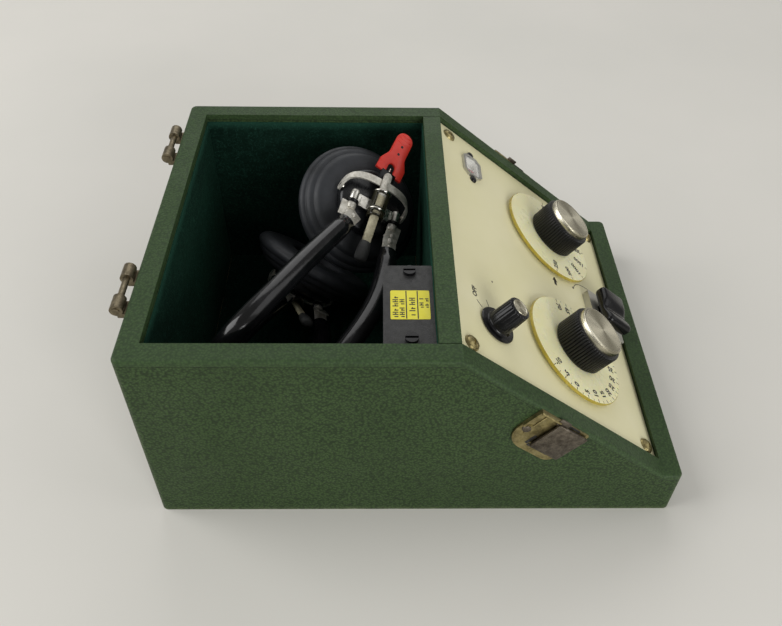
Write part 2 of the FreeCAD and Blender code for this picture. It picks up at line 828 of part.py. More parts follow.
def make_dial(name, x, y):
    knob_top = disc_top + knob_height
    land_top = knob_top + knob_land_height
    cap_top = knob_top + cap_height
    bore_top = knob_top - 2.0
    shaft_bottom = panel_under - nut_height - shaft_below_bush
    disc = cylinder(disc_radius, disc_under, disc_top, x, y).cut(
        cylinder(hub_radius, disc_under - 1, disc_top + 1, x, y))
    rim_edge = [edge for edge in disc.Edges
                if isinstance(edge.Curve, Part.Circle) and abs(edge.Curve.Radius - disc_radius) < 1e-6
                and abs(edge.Curve.Center.z - disc_top) < 1e-6]
    disc = disc.makeChamfer(0.5, rim_edge)
    knob = fluted_ring(knob_radius, flute_depth, flute_count, disc_top, knob_top, x, y)
    land = cylinder(knob_land_radius, knob_top, land_top, x, y)
    hub = cylinder(hub_radius, disc_under, disc_top, x, y)
    bore = cylinder(shaft_radius, disc_under - 1, bore_top, x, y)
    cap_seat = cylinder(cap_radius, knob_top, land_top + 1, x, y)
    knob = fuse_all([knob, land, hub]).cut(bore).cut(cap_seat)
    cap = cylinder(cap_radius, knob_top, cap_top, x, y)
    shoulder = [edge for edge in cap.Edges
                if isinstance(edge.Curve, Part.Circle) and abs(edge.Curve.Center.z - cap_top) < 1e-6]
    cap = cap.makeFillet(0.9, shoulder)
    shaft = cylinder(shaft_radius, shaft_bottom, bore_top, x, y)
    keep(name + "_disc", on_panel(disc))
    keep(name + "_knob", on_panel(knob))
    keep(name + "_cap", on_panel(cap))
    keep(name + "_shaft", on_panel(shaft))


bushes = []
for dial_name, (dial_x, dial_y) in dial_spots.items():
    make_dial(dial_name, dial_x, dial_y)
    bushes.append(make_bush(dial_x, dial_y, disc_under - 0.4))

# output knob
output_x, output_y = output_spot
flange_under = panel_face + output_flange_gap
flange_top = flange_under + output_flange_sheet
output_top = flange_top + output_knob_height
output_bore_top = output_top - output_insert_sheet - 1.0
bushes.append(make_bush(output_x, output_y, panel_face))
knob_flange = cylinder(output_flange_radius, flange_under, flange_top, output_x, output_y)
knob_body = cone(output_knob_base, output_knob_top, flange_under, output_top, output_x, output_y)
insert_top = output_top + output_insert_proud
insert = cylinder(output_insert_radius, output_top - output_insert_sheet + output_insert_proud, insert_top,
                  output_x, output_y)
insert_seat = cylinder(output_insert_radius, output_top - output_insert_sheet + output_insert_proud,
                       output_top + 1, output_x, output_y)
output_bore = cylinder(shaft_radius, flange_under - 1, output_bore_top, output_x, output_y)
grub_hole = cylinder_along(V(-1, 0, 0), grub_hole_radius,
                           V(output_x - shaft_radius, output_y, flange_top + output_knob_height * 0.35), 10)
output_knob = fuse_all([knob_flange, knob_body]).cut(output_bore).cut(insert_seat).cut(grub_hole)
output_shaft = cylinder(shaft_radius, panel_under - nut_height - output_can_depth * 0.6, output_bore_top,
                        output_x, output_y)
keep("output_knob", on_panel(output_knob))
keep("output_insert", on_panel(insert))
keep("output_shaft", on_panel(output_shaft))
keep("control_bushes", *[on_panel(bush) for bush in bushes])

# tone bar: a block on a lever that rocks on a pin across its bezel
bezel_top = panel_face + bezel_height
bar_under = bezel_top + tone_above_bezel
bar_top = bar_under + tone_height
pivot_h = panel_face + tone_pivot_above_panel
pivot_start = V(0, tone_y - lever_length / 2 - lever_clearance - 2.0, pivot_h)
pivot_length = lever_length + 2 * lever_clearance + 4.0
pivot_pin = cylinder_along(V(0, 1, 0), pivot_pin_radius, pivot_start, pivot_length)
pivot_bore = cylinder_along(V(0, 1, 0), pivot_pin_radius + shaft_clearance, pivot_start, pivot_length)
bar = rounded_block(-tone_width / 2, tone_width / 2, tone_y - tone_length / 2, tone_y + tone_length / 2,
                    bar_under, bar_top, tone_corner)
dish_axis = V(-dish_offset, tone_y - tone_length, bar_top + dish_radius - dish_depth)
dish = cylinder_along(V(0, 1, 0), dish_radius, dish_axis, 2 * tone_length)
lever = box(-lever_width / 2, lever_width / 2, tone_y - lever_length / 2, tone_y + lever_length / 2,
            pivot_h - lever_reach, bar_under)
keep("tone_bar", on_panel(bar.cut(dish)), on_panel(lever.cut(pivot_bore)))
bezel = rounded_block(-bezel_width / 2, bezel_width / 2, tone_y - bezel_length / 2, tone_y + bezel_length / 2,
                      panel_face, bezel_top, tone_corner)
bezel = bezel.cut(lever_slot).cut(pivot_pin)
keep("tone_bezel", on_panel(bezel), on_panel(pivot_pin))
tone_body = box(-bezel_width / 3, bezel_width / 3, tone_y - bezel_length * 0.4, tone_y + bezel_length * 0.4,
                panel_under - tone_switch_depth, panel_under)
keep("tone_switch", on_panel(tone_body.cut(lever_slot)))

# battery meter
meter_bezel = meter_octagon(0, panel_face, panel_face + meter_bezel_height)
meter_bezel = meter_bezel.cut(meter_octagon(-meter_frame, panel_face - 1, panel_face + 9))
window_top = panel_face + meter_bezel_height + 0.2
meter_window = meter_octagon(-meter_frame, window_top - meter_window_sheet, window_top)
body_top = window_top - meter_window_sheet
meter_body = meter_octagon(-meter_frame, panel_face - 0.01, body_top).fuse(
    meter_octagon(-meter_frame, panel_face - meter_depth, panel_face))
cavity_floor = body_top - meter_cavity
meter_hollow = meter_octagon(-meter_frame - meter_wall, cavity_floor, body_top + 1)
meter_body = meter_body.cut(meter_hollow).removeSplitter()
needle_y = -meter_down - meter_length / 2 + meter_frame + meter_wall + needle_hub_radius + 0.5
needle_post = cylinder(0.3, cavity_floor, body_top - 0.8, meter_across, needle_y)
needle_h = cavity_floor + 1.4
needle = fuse_all([cylinder(needle_hub_radius, needle_h, needle_h + needle_sheet, meter_across, needle_y),
                   box(meter_across - needle_width / 2, meter_across + needle_width / 2,
                       needle_y, needle_y + needle_length, needle_h, needle_h + needle_sheet)])
needle = needle.cut(cylinder(0.3 + shaft_clearance, needle_h - 1, needle_h + 2, meter_across, needle_y))
keep("meter_bezel", on_panel(meter_bezel), *[on_panel(screw) for screw in meter_screws])
keep("meter_window", on_panel(meter_window))
keep("meter_body", on_panel(meter_body.fuse(needle_post).removeSplitter()))
keep("meter_needle", on_panel(needle))


# switches under the dials
def tag_ring(x, y, radius, count, z0, z1):
    tags = []
    for step in range(count):
        tag = box(radius - 0.6, radius + tag_length - 0.6, -tag_width / 2, tag_width / 2, z0, z1)
        turn = Placement(V(x, y, 0), Rotation(V(0, 0, 1), 360.0 * step / count))
        tags.append(placed(tag, turn))
    return tags


def make_wafer_switch(x, y):
    plate_top = panel_under - nut_height
    half = switch_plate / 2
    pieces = [box(x - half, x + half, y - half * 0.7, y + half * 0.7,
                  plate_top - switch_plate_sheet, plate_top)]
    post_bottom = plate_top - switch_plate_sheet - 2 * wafer_spacing
    for side in (-1, 1):
        pieces.append(cylinder(1.6, post_bottom, plate_top, x + side * wafer_radius * 0.8, y))
    for level in (1, 2):
        wafer_top = plate_top - switch_plate_sheet - level * wafer_spacing + wafer_sheet
        pieces.append(cylinder(wafer_radius, wafer_top - wafer_sheet, wafer_top, x, y))
        pieces += tag_ring(x, y, wafer_radius, wafer_tags, wafer_top - wafer_sheet / 2 - tag_sheet / 2,
                           wafer_top - wafer_sheet / 2 + tag_sheet / 2)
    body = fuse_all(pieces)
    body = body.cut(cylinder(bush_radius, plate_top - switch_plate_sheet, plate_top + 1, x, y))
    bore = cylinder(shaft_radius + shaft_clearance, plate_top - shaft_bore_depth, plate_top + 1, x, y)
    return body.cut(bore)


def make_can(x, y, radius, depth, shaft_depth, tags):
    top = panel_under - nut_height
    body = cylinder(radius, top - depth, top, x, y)
    tag_level = top - depth + 2.0
    body = fuse_all([body] + tag_ring(x, y, radius, tags, tag_level, tag_level + tag_sheet))
    body = body.cut(cylinder(bush_radius, top - switch_plate_sheet, top + 1, x, y))
    return body.cut(cylinder(shaft_radius + shaft_clearance, top - shaft_depth - 0.5, top + 1, x, y))


keep("frequency_switch", on_panel(make_wafer_switch(*dial_spots["frequency"])))
keep("level_attenuator", on_panel(make_can(*dial_spots["level"], attenuator_radius, attenuator_depth,
                                           shaft_below_bush, attenuator_tags)))
keep("output_switch", on_panel(make_can(*output_spot, output_can_radius, output_can_depth,
                                        output_can_depth * 0.6, 6)))

# circuit board on standoffs
board_x = board_width / 2
board_y0 = board_centre_y - board_depth / 2
board_y1 = board_centre_y + board_depth / 2
board_z0 = base_board + standoff_height
board_z1 = board_z0 + board_sheet
standoffs = []
board_screws = []
for sx in (-1, 1):
    for y in (board_y0 + board_screw_inset, board_y1 - board_screw_inset):
        x = sx * (board_x - board_screw_inset)
        screw = cylinder(board_screw_radius, base_board / 2, board_z1, x, y).fuse(
            cylinder(board_screw_head, board_z1, board_z1 + 1.2, x, y))
        board_screws.append(screw)
        standoffs.append(cylinder(standoff_radius, base_board, board_z0, x, y).cut(screw))
keep("board_standoffs", *(standoffs + board_screws))
keep("base_board", cut_all(base_solid, board_screws))
keep("circuit_board", cut_all(box(-board_x, board_x, board_y0, board_y1, board_z0, board_z1), board_screws))
board_parts = []
for index in range(resistor_count):
    x = -board_x + 18 + index * resistor_pitch
    start = V(x, board_y1 - 18, board_z1 + resistor_radius)
    board_parts.append(cylinder_along(V(0, 1, 0), resistor_radius, start, resistor_length))
for index in range(capacitor_count):
    x = 12 + index * capacitor_pitch
    board_parts.append(cylinder(capacitor_radius, board_z1, board_z1 + capacitor_height, x, board_y1 - 16))
for index in range(transistor_count):
    x = -board_x + 20 + index * transistor_pitch
    board_parts.append(cylinder(transistor_radius, board_z1, board_z1 + transistor_height, x, board_centre_y))
board_parts.append(box(16, 16 + transformer_width, board_centre_y - transformer_depth / 2,
                       board_centre_y + transformer_depth / 2, board_z1, board_z1 + transformer_height))
keep("board_parts", *board_parts)

# battery box
wall = battery_box_wall
box_mid_x = (box_x0 + box_x1) / 2
box_mid_y = (box_y0 + box_y1) / 2
cover_top = battery_box_top + battery_cover_sheet
box_shell = box(box_x0, box_x1, box_y0, box_y1, base_board, battery_box_top)
box_hollow = box(box_x0 + wall, box_x1 - wall, box_y0 + wall, box_y1 - wall,
                 base_board + wall, battery_box_top + 1)
box_shell = box_shell.cut(box_hollow)
battery_screws = []
bosses = []
for side in (-1, 1):
    x = box_mid_x + side * battery_screw_pitch / 2
    shank = cylinder(battery_screw_shank, cover_top - battery_screw_length, cover_top, x, box_mid_y)
    head = cylinder(battery_screw_head, cover_top, cover_top + battery_screw_head_height, x, box_mid_y)
    slot = box(x - 0.6, x + 0.6, box_mid_y - 5, box_mid_y + 5, cover_top + 0.7, cover_top + 3)
    battery_screws.append(shank.fuse(head).cut(slot))
    x_wall = box_x1 - wall if side > 0 else box_x0 + wall
    boss = fuse_all([cylinder(battery_boss_radius, battery_box_top - 14, battery_box_top, x, box_mid_y),
                     box(min(x, x_wall), max(x, x_wall), box_mid_y - 1.5, box_mid_y + 1.5,
                         battery_box_top - 14, battery_box_top)])
    bosses.append(boss)
box_shell = cut_all(fuse_all([box_shell] + bosses), battery_screws)
cover = rounded_block(box_x0 - glue_gap, box_x1, box_y0 + cloth, box_y1 + glue_gap,
                      battery_box_top, cover_top,
                      battery_cover_corner)
keep("battery_box", box_shell)
keep("battery_cover", cut_all(cover, battery_screws))
keep("battery_cover_screws", *battery_screws)
battery = box(box_mid_x - battery_width / 2, box_mid_x + battery_width / 2,
              box_mid_y - battery_depth / 2, box_mid_y + battery_depth / 2,
              base_board + wall, base_board + wall + battery_height)
terminals = [cylinder(battery_terminal_radius, base_board + wall + battery_height,
                      base_board + wall + battery_height + battery_terminal_height,
                      box_mid_x + side * battery_width / 4, box_mid_y) for side in (-1, 1)]
keep("battery", fuse_all([battery] + terminals))


# ---------------------------------------------------------------- headset
# Clamp frame: X along the slide rod towards its rubber tip, Y along the earphone's
# pivot axis, Z out of the earphone's back.  The lower earphone mirrors the upper one.
def keep_pair(name, *shapes):
    """The same pieces on both ends of the headset; the lower rod is pushed further through its clamp."""
    keep(name + "_upper", *[on_headset(shape) for shape in shapes])
    keep(name + "_lower", *[lower_half(on_headset(shape, lower_rod_push)) for shape in shapes])


ear_profile = [(cushion_ear_hole, -cushion_face), (cushion_face_radius, -cushion_face)]
ear_profile += [(radius, -level) for radius, level in cushion_steps]
ear_profile += [(receiver_radius, -cushion_steps[-1][1]), (receiver_radius, -receiver_front),
                (cushion_ear_hole, -receiver_front)]
cushion = revolve(ear_profile, receiver_shift)
receiver_profile = [(0, -receiver_front), (receiver_radius, -receiver_front),
                    (receiver_radius, -receiver_back), (receiver_radius - 2.2, -receiver_back),
                    (receiver_radius - 2.8, -receiver_back + 0.8),
                    (receiver_radius * 0.55, -receiver_back + receiver_dome),
                    (0, -receiver_back + receiver_dome)]
receiver = revolve(receiver_profile, receiver_shift)
ear_inner_y = receiver_radius + yoke_gap
ear_outer_y = ear_inner_y + yoke_sheet
pivot_screws = []
for side in (-1, 1):
    shank = cylinder_along(V(0, side, 0), pivot_radius,
                           V(receiver_shift, side * (receiver_radius - 3.0), -pivot_level),
                           ear_outer_y - receiver_radius + 3.0 + 0.2)
    head = cylinder_along(V(0, side, 0), pivot_head_radius,
                          V(receiver_shift, side * (ear_outer_y + 0.2), -pivot_level), pivot_head_height)
    pivot_screws.append(shank.fuse(head))
receiver = cut_all(receiver, pivot_screws)
keep_pair("cushion", cushion)
keep_pair("receiver", receiver, *pivot_screws)

# yoke: a flat squarish arch, hung on the pivot screws and raised to meet the rod
def arch(half_span, reach, squareness):
    points = []
    for step in range(yoke_steps + 1):
        turn = math.pi * step / yoke_steps
        across = math.copysign(abs(math.cos(turn)) ** (2 / squareness), math.cos(turn))
        points.append((-reach * math.sin(turn) ** (2 / squareness), half_span * across))
    return points


yoke_foot = -pivot_level + yoke_ear_rise
yoke_climb = -yoke_foot - rod_sheet / 2 - yoke_sheet / 2
yoke_rise = math.degrees(math.asin(yoke_climb / yoke_reach))
outer_arch = arch(ear_inner_y + yoke_width, yoke_reach + yoke_width / 2, yoke_squareness)
inner_arch = arch(ear_inner_y, yoke_reach - yoke_width / 2, yoke_squareness)
arch_outline = [V(x, y, -yoke_sheet / 2) for x, y in outer_arch + inner_arch[::-1]]
arch_plate = placed(prism(arch_outline, V(0, 0, yoke_sheet)),
                    Placement(V(receiver_shift, 0, yoke_foot), Rotation(V(0, 1, 0), yoke_rise)))
yoke_pieces = [arch_plate]
for side in (-1, 1):
    y0 = min(side * ear_inner_y, side * ear_outer_y)
    yoke_pieces.append(box(receiver_shift - yoke_ear_width / 2, receiver_shift + yoke_ear_width / 2,
                           y0, y0 + yoke_sheet, -pivot_level - yoke_ear_drop, yoke_foot + yoke_sheet / 2))
yoke = fuse_all(yoke_pieces)
for side in (-1, 1):
    yoke = yoke.cut(cylinder_along(V(0, side, 0), pivot_radius + pivot_clearance,
                                   V(receiver_shift, side * receiver_radius, -pivot_level), 6))
rod_strip = box(-rod_back, rod_forward, -rod_width / 2, rod_width / 2, -rod_sheet / 2, rod_sheet / 2)
rod_end = cylinder(rod_width / 2, -rod_sheet / 2, rod_sheet / 2, -rod_back)
slide_rod = fuse_all([rod_strip, rod_end])
rivet_x = receiver_shift - math.cos(math.radians(yoke_rise)) * yoke_reach
yoke_rivet = cylinder(yoke_rivet_radius, -rod_sheet / 2 - 2.0, rod_sheet / 2, rivet_x)
yoke = cut_all(yoke, [slide_rod, yoke_rivet])
slide_rod = slide_rod.cut(yoke_rivet)
keep_pair("yoke", yoke, slide_rod, yoke_rivet)

# rubber tip on the rod's free end
tip_half = [(0.0, rod_width / 2 + 0.7), (0.35, tip_width / 2), (0.8, tip_width / 2), (1.0, tip_width / 3)]
tip_sides = [(share, -half) for share, half in tip_half] + tip_half[::-1]
tip_profile = [V(tip_start + tip_length * share, half, 0) for share, half in tip_sides]
rubber_tip = placed(prism(tip_profile, V(0, 0, tip_height)), Placement(V(0, 0, -tip_height / 2), Rotation()))
keep_pair("rod_tip", rubber_tip.cut(rod_strip))

# coloured tab behind the yoke: red above; the blue one below rests its tip on the floor
def make_tab(slope):
    tab_frame = Placement(V(-tab_start, 0, -rod_sheet / 2 - yoke_sheet - tab_sheet),
                          Rotation(V(0, 0, 1), 180 - tab_skew) * Rotation(V(0, 1, 0), slope))
    half_base = tab_base_width / 2
    half_neck = tab_neck_width / 2
    outline = [(tab_foot, half_base), (tab_shoulder, half_base - 1.0), (tab_shoulder + 4, half_neck),
               (tab_length - 4, half_neck), (tab_length, half_neck / 2)]
    outline += [(x, -y) for x, y in reversed(outline)]
    blank = prism([V(x, y, 0) for x, y in outline], V(0, 0, tab_sheet))
    tongue = box(tab_foot - tab_tongue_length, tab_foot + 1, -tab_tongue_width / 2, tab_tongue_width / 2,
                 0, tab_sheet)
    blank = fuse_all([blank, tongue])
    holes = [cylinder(tab_notch_radius, -1, tab_sheet + 1, tab_foot + 4)]
    for offset in tab_hole_offsets:
        holes.append(cylinder(tab_hole_radius, -1, tab_sheet + 1, offset))
    tab = placed(cut_all(blank, holes), tab_frame)
    tab = cut_all(tab, [yoke, slide_rod, yoke_rivet])
    return max(tab.Solids, key=lambda solid: solid.Volume)


keep("tab_red", on_headset(make_tab(tab_slope_upper)))
keep("tab_blue", lower_half(on_headset(make_tab(tab_slope_lower), lower_rod_push)))

# clamp: windowed barrel with two collars and two guide bushes, cross plate and lugs
def along_rod(radius, x0, x1, y=0.0, z=0.0):
    return cylinder_along(V(1, 0, 0), radius, V(x0, y, z), x1 - x0)


slot = box(-rod_back, rod_forward, -rod_width / 2 - rod_clearance, rod_width / 2 + rod_clearance,
           -rod_sheet / 2 - rod_clearance, rod_sheet / 2 + rod_clearance)
lug_y = lug_spacing / 2
wing_reach = lug_y - lug_radius - washer_rim - 0.4
half_collar = collar_length / 2
barrel_parts = [along_rod(barrel_radius, -barrel_back, barrel_front),
                along_rod(collar_radius, -barrel_back - half_collar, -barrel_back + half_collar),
                along_rod(collar_radius, front_collar_at - half_collar, front_collar_at + half_collar),
                box(-wing_back, lug_front, -lug_y, lug_y, -wing_level - wing_sheet / 2,
                    -wing_level + wing_sheet / 2),
                box(-wing_back, wing_front, -wing_reach, wing_reach, -wing_level - wing_sheet / 2,
                    -wing_level + wing_sheet / 2)]
for side in (-1, 1):
    barrel_parts.append(along_rod(lug_radius, -lug_back, lug_front, side * lug_y, -wing_level))
barrel_hole = along_rod(barrel_bore, -barrel_back - collar_length, barrel_front + collar_length)
window = box(-barrel_window_back, barrel_window_front, -barrel_window_width / 2, barrel_window_width / 2,
             0, collar_radius)
clamp = fuse_all(barrel_parts).cut(barrel_hole).cut(window)
guides = []
for guide_start in (-barrel_back + guide_inset, barrel_front - guide_inset - guide_length):
    guides.append(along_rod(barrel_bore, guide_start, guide_start + guide_length).cut(slot))
plate_level = -wing_level - end_plate_sheet / 2
end_parts = []
lug_pins = []
sleeve_cutters = []
for side, band in ((-1, rear_band), (1, front_band)):
    y = side * lug_y
    pin = along_rod(lug_pin_radius, -lug_back, base_plate_start + end_knuckle_length, y, -wing_level)
    lug_pins.append(pin)
    plate_y = y + side * base_plate_offset
    base_plate = box(base_plate_start + 0.3, base_plate_start + base_plate_length,
                     plate_y - base_plate_width / 2, plate_y + base_plate_width / 2,
                     plate_level, plate_level + end_plate_sheet)
    knuckle = along_rod(lug_radius, base_plate_start, base_plate_start + end_knuckle_length, y, -wing_level)
    base_plate = fuse_all([base_plate, knuckle]).cut(pin)
    washer_start = lug_front + 0.1
    washer = along_rod(lug_radius + washer_rim, washer_start, washer_start + washer_length, y, -wing_level)
    washer = washer.cut(pin)
    # the rivet plate runs along the sleeve's first stretch
    start = clamp_in_headset.inverse().multVec(V(*band[0]))
    second = clamp_in_headset.inverse().multVec(V(*band[1]))
    along = (second - start).normalize()
    across = V(0, 0, 1).cross(along).normalize()
    plate_frame = frame(start, along, across, along.cross(across))
    rivet_plate = placed(box(-rivet_plate_length, sleeve_grip, -rivet_plate_width / 2, rivet_plate_width / 2,
                             -end_plate_sheet / 2, end_plate_sheet / 2), plate_frame)
    rivets = []
    for step in (0, 1):
        x = -rivet_setback - step * rivet_pitch
        shank = cylinder(rivet_radius, -end_plate_sheet / 2, end_plate_sheet / 2, x)
        head = cylinder(rivet_head_radius, end_plate_sheet / 2, end_plate_sheet / 2 + rivet_head_height, x)
        rivets.append(placed(shank.fuse(head), plate_frame))
    rivet_plate = cut_all(rivet_plate, [knuckle] + rivets)
    base_plate = cut_all(base_plate, [rivet_plate] + rivets)
    end_parts += [base_plate, rivet_plate, washer] + rivets
    sleeve_cutters.append([rivet_plate, base_plate])
clamp = cut_all(clamp, lug_pins)
upper_clamp = [on_headset(shape) for shape in [clamp] + guides + lug_pins]
upper_ends = [on_headset(shape) for shape in end_parts]
keep("headband_clamps", *(upper_clamp + [lower_half(shape) for shape in upper_clamp]))
keep("headband_ends", *(upper_ends + [lower_half(shape) for shape in upper_ends]))

# the two sleeved bands run from clamp to clamp round the crown
sleeves = []
for band, cutters in zip((rear_band, front_band), sleeve_cutters):
    half = [V(*point) for point in band]
    other = [V(point.x, point.y, -point.z) for point in reversed(half)]
    tube = tube_along([headset_frame.multVec(point) for point in half + other], sleeve_radius)
    upper_cutters = [on_headset(cutter) for cutter in cutters]
    sleeves.append(cut_all(tube, upper_cutters + [lower_half(cutter) for cutter in upper_cutters]))
keep("headband_sleeves", *sleeves)

# ---------------------------------------------------------------- output
for name, solids in nodes.items():
    shape = solids[0] if len(solids) == 1 else Part.makeCompound(solids)
    shape.exportStep("parts/" + name + ".step")
print(len(nodes), "nodes,", sum(len(solids) for solids in nodes.values()), "solids")
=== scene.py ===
"""Portable audiometer: looks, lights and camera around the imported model.

Every shape is drawn in millimetres and turned to metres when its piece is finished.
"""
import math

import bmesh
import bpy
from mathutils import Matrix, Vector, noise


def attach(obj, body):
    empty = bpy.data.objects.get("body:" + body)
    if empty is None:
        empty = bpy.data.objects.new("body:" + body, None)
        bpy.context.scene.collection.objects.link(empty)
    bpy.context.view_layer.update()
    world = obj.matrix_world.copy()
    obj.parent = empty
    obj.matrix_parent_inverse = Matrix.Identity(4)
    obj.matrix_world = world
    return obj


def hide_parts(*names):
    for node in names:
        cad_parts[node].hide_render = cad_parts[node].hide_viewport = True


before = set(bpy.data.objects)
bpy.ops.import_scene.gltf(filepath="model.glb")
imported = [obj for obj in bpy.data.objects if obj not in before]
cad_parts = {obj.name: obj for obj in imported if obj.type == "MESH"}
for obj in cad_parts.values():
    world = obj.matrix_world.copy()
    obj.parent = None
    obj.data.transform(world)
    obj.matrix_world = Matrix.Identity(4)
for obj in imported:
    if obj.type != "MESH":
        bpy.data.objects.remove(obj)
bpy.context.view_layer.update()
MM = 0.001

# ---------------------------------------------------------------- sizes
HALF_WIDTH = 98.0
HALF_DEPTH = 127.0
CASE_HEIGHT = 111.0
SLOPE_TOP_Y = -15.0     # where the flat top ends and the slope starts
LIP_INNER_Y = -117.5    # where the slope ends at the front board
LIP_HEIGHT = 28.5
SLOPE = math.atan2(CASE_HEIGHT - LIP_HEIGHT, SLOPE_TOP_Y - LIP_INNER_Y)
FELT_X = 88.6           # faces of the boards and cloth that the lining is glued to
FELT_REAR_Y = 117.8
FELT_FRONT_Y = -6.3
FELT_FLOOR = 6.0
FELT_TOP = 106.5
FELT = 1.6              # its thickness
FELT_GAP = 0.4          # what each sheet is cut short by, to go in

# heights over the slope's edge, and places across it and down it from its top
PANEL_FACE = -2.8
DISC_RADIUS = 31.5
DISC_UNDER = -1.6
DISC_TOP = 0.4
KNOB_TOP = 14.6
CAP_TOP = 17.6
DIAL_DOWN = -82.0
DIALS = {"frequency": (43.8, DIAL_DOWN), "level": (-43.8, DIAL_DOWN)}
OUTPUT_AT = (-59.6, -26.5)
METER_AT = (62.4, -24.3)
METER_LUG_X = 11.6

HEADSET_AT = Vector((25.3, 44.7, 58.5))
HEADSET_ROLL = math.radians(35.0)
EARPHONE_TILT = 30.5
CLAMP_BACK = 3.3
CLAMP_SPREAD = 44.4     # from the headset's middle to each clamp
LOWER_PUSH = 5.4        # how much further the lower rod is pushed in
RECEIVER_SHIFT = -2.9


# ---------------------------------------------------------------- frames
def axes(x, y, z, at):
    """A frame from three directions and an origin."""
    return Matrix(((x.x, y.x, z.x, at.x), (x.y, y.y, z.y, at.y), (x.z, y.z, z.z, at.z), (0, 0, 0, 1)))


def move(x=0.0, y=0.0, z=0.0):
    """A frame moved by millimetres."""
    return Matrix.Translation((x, y, z))


def turn(degrees, axis="Z"):
    """A frame turned about an axis."""
    return Matrix.Rotation(math.radians(degrees), 4, axis)


UP = Vector((0, 0, 1))

# panel: X to the right, Y up the slope, Z out of the panel
PANEL = axes(Vector((1, 0, 0)), Vector((0, math.cos(SLOPE), math.sin(SLOPE))),
             Vector((0, -math.sin(SLOPE), math.cos(SLOPE))), Vector((0, SLOPE_TOP_Y, CASE_HEIGHT)))

# headset: X towards its crown, Y along the earphones' pivots, Z between the two earphones
CROWN = Vector((-1, 0, 0))
PIVOTS = Vector((0, -math.cos(HEADSET_ROLL), -math.sin(HEADSET_ROLL)))
MIDDLE = Vector((0, -math.sin(HEADSET_ROLL), math.cos(HEADSET_ROLL)))
HEADSET = axes(CROWN, PIVOTS, MIDDLE, HEADSET_AT)
MIRROR = HEADSET @ Matrix.Diagonal((1, 1, -1, 1)) @ HEADSET.inverted()

# clamp: X along the slide rod to its rubber tip, Y along the pivots, Z out of the earphone's back
CLAMP = HEADSET @ move(-CLAMP_BACK, 0, CLAMP_SPREAD) @ turn(EARPHONE_TILT, "Y")
CLAMPS = {"upper": CLAMP, "lower": MIRROR @ CLAMP}
RODS = {"upper": CLAMP, "lower": MIRROR @ CLAMP @ move(LOWER_PUSH)}


# ---------------------------------------------------------------- finishes
METRE = 1000.0                  # in millimetres, since a pattern's scale counts repeats in a metre
COLOURS = {"output": 2, "data_type": "RGBA"}    # a Mix node on colours: inputs 0, 6 and 7, output 2

# real sizes that the patterns are drawn at, in millimetres
PEBBLE = 1.1765                 # across a pebble of the leathercloth's grain
PEBBLE_WAVE = 3.8462            # over which the rows of pebbles wander
WEAVE_LUMP = 2.381              # unevenness of the cloth under them
FELT_FIBRE = 2.3256             # length of the felt's matted fibres
TOOL_MARK = 0.11111             # from one ring of tool marks to the next
PINE_GRAIN = 3.3333             # from one grain line to the next


def rgb(code):
    """A colour written as sRGB hex, as the linear values that a shader takes."""
    parts = [int(code[i:i + 2], 16) / 255 for i in (0, 2, 4)]
    return tuple(c / 12.92 if c <= 0.04045 else ((c + 0.055) / 1.055) ** 2.4 for c in parts) + (1.0,)


def fill(tree, node, inputs):
    """Fills a node's inputs: a socket is linked, a hex colour is turned to linear, and a value is set."""
    for key, value in inputs.items():
        if isinstance(value, bpy.types.NodeSocket):
            tree.links.new(value, node.inputs[key])
        else:
            node.inputs[key].default_value = rgb(value) if isinstance(value, str) else value


def add(tree, kind, inputs, output=0, **settings):
    """Adds a shader node with its settings and its inputs, and gives one of its outputs."""
    made = tree.nodes.new("ShaderNode" + kind)
    for key, value in settings.items():
        setattr(made, key, value)
    fill(tree, made, inputs)
    return made.outputs[output]


def finish(name, colour, roughness, **sockets):
    """A material with one shader; sockets are named with underscores for spaces."""
    made = bpy.data.materials.new(name)
    made.use_nodes = True
    shader = made.node_tree.nodes["Principled BSDF"]
    fill(made.node_tree, shader, {"Base Color": colour, "Roughness": roughness})
    fill(made.node_tree, shader, {key.replace("_", " "): value for key, value in sockets.items()})
    return made, made.node_tree, shader


def object_place(tree, stretch=(1, 1, 1)):
    """Object coordinates, stretched for a pattern with a direction."""
    place = add(tree, "TexCoord", {}, "Object")
    return add(tree, "Mapping", {"Vector": place, "Scale": stretch})


def cloudy(tree, place, size_mm, low, high, detail=4.0, rough=0.55):
    """Soft cloudy change between two values, about size_mm across."""
    cloud = add(tree, "TexNoise", {"Vector": place, "Scale": METRE / size_mm, "Detail": detail,
                                   "Roughness": rough})
    return add(tree, "MapRange", {"Value": cloud, "From Min": 0.3, "From Max": 0.7, "To Min": low,
                                  "To Max": high})


def plain_finish(name, colour, other, roughness, mottle_mm, rough_spread=0.08, grain_mm=0.0,
                 grain_depth_mm=0.0, **sockets):
    """A material that drifts between two near colours, with an even grain over it."""
    made, tree, shader = finish(name, colour, roughness, **sockets)
    place = object_place(tree)
    tone = cloudy(tree, place, mottle_mm, 0.0, 1.0)
    rub = cloudy(tree, place, mottle_mm * 0.4, roughness - rough_spread, roughness + rough_spread, 6.0)
    fill(tree, shader, {"Base Color": add(tree, "Mix", {0: tone, 6: colour, 7: other}, **COLOURS),
                        "Roughness": rub})
    if grain_mm:
        grain = cloudy(tree, place, grain_mm, 0.0, 1.0, 3.0)
        bump = add(tree, "Bump", {"Height": grain, "Distance": grain_depth_mm * MM, "Strength": 1.0})
        fill(tree, shader, {"Normal": bump})
    return made


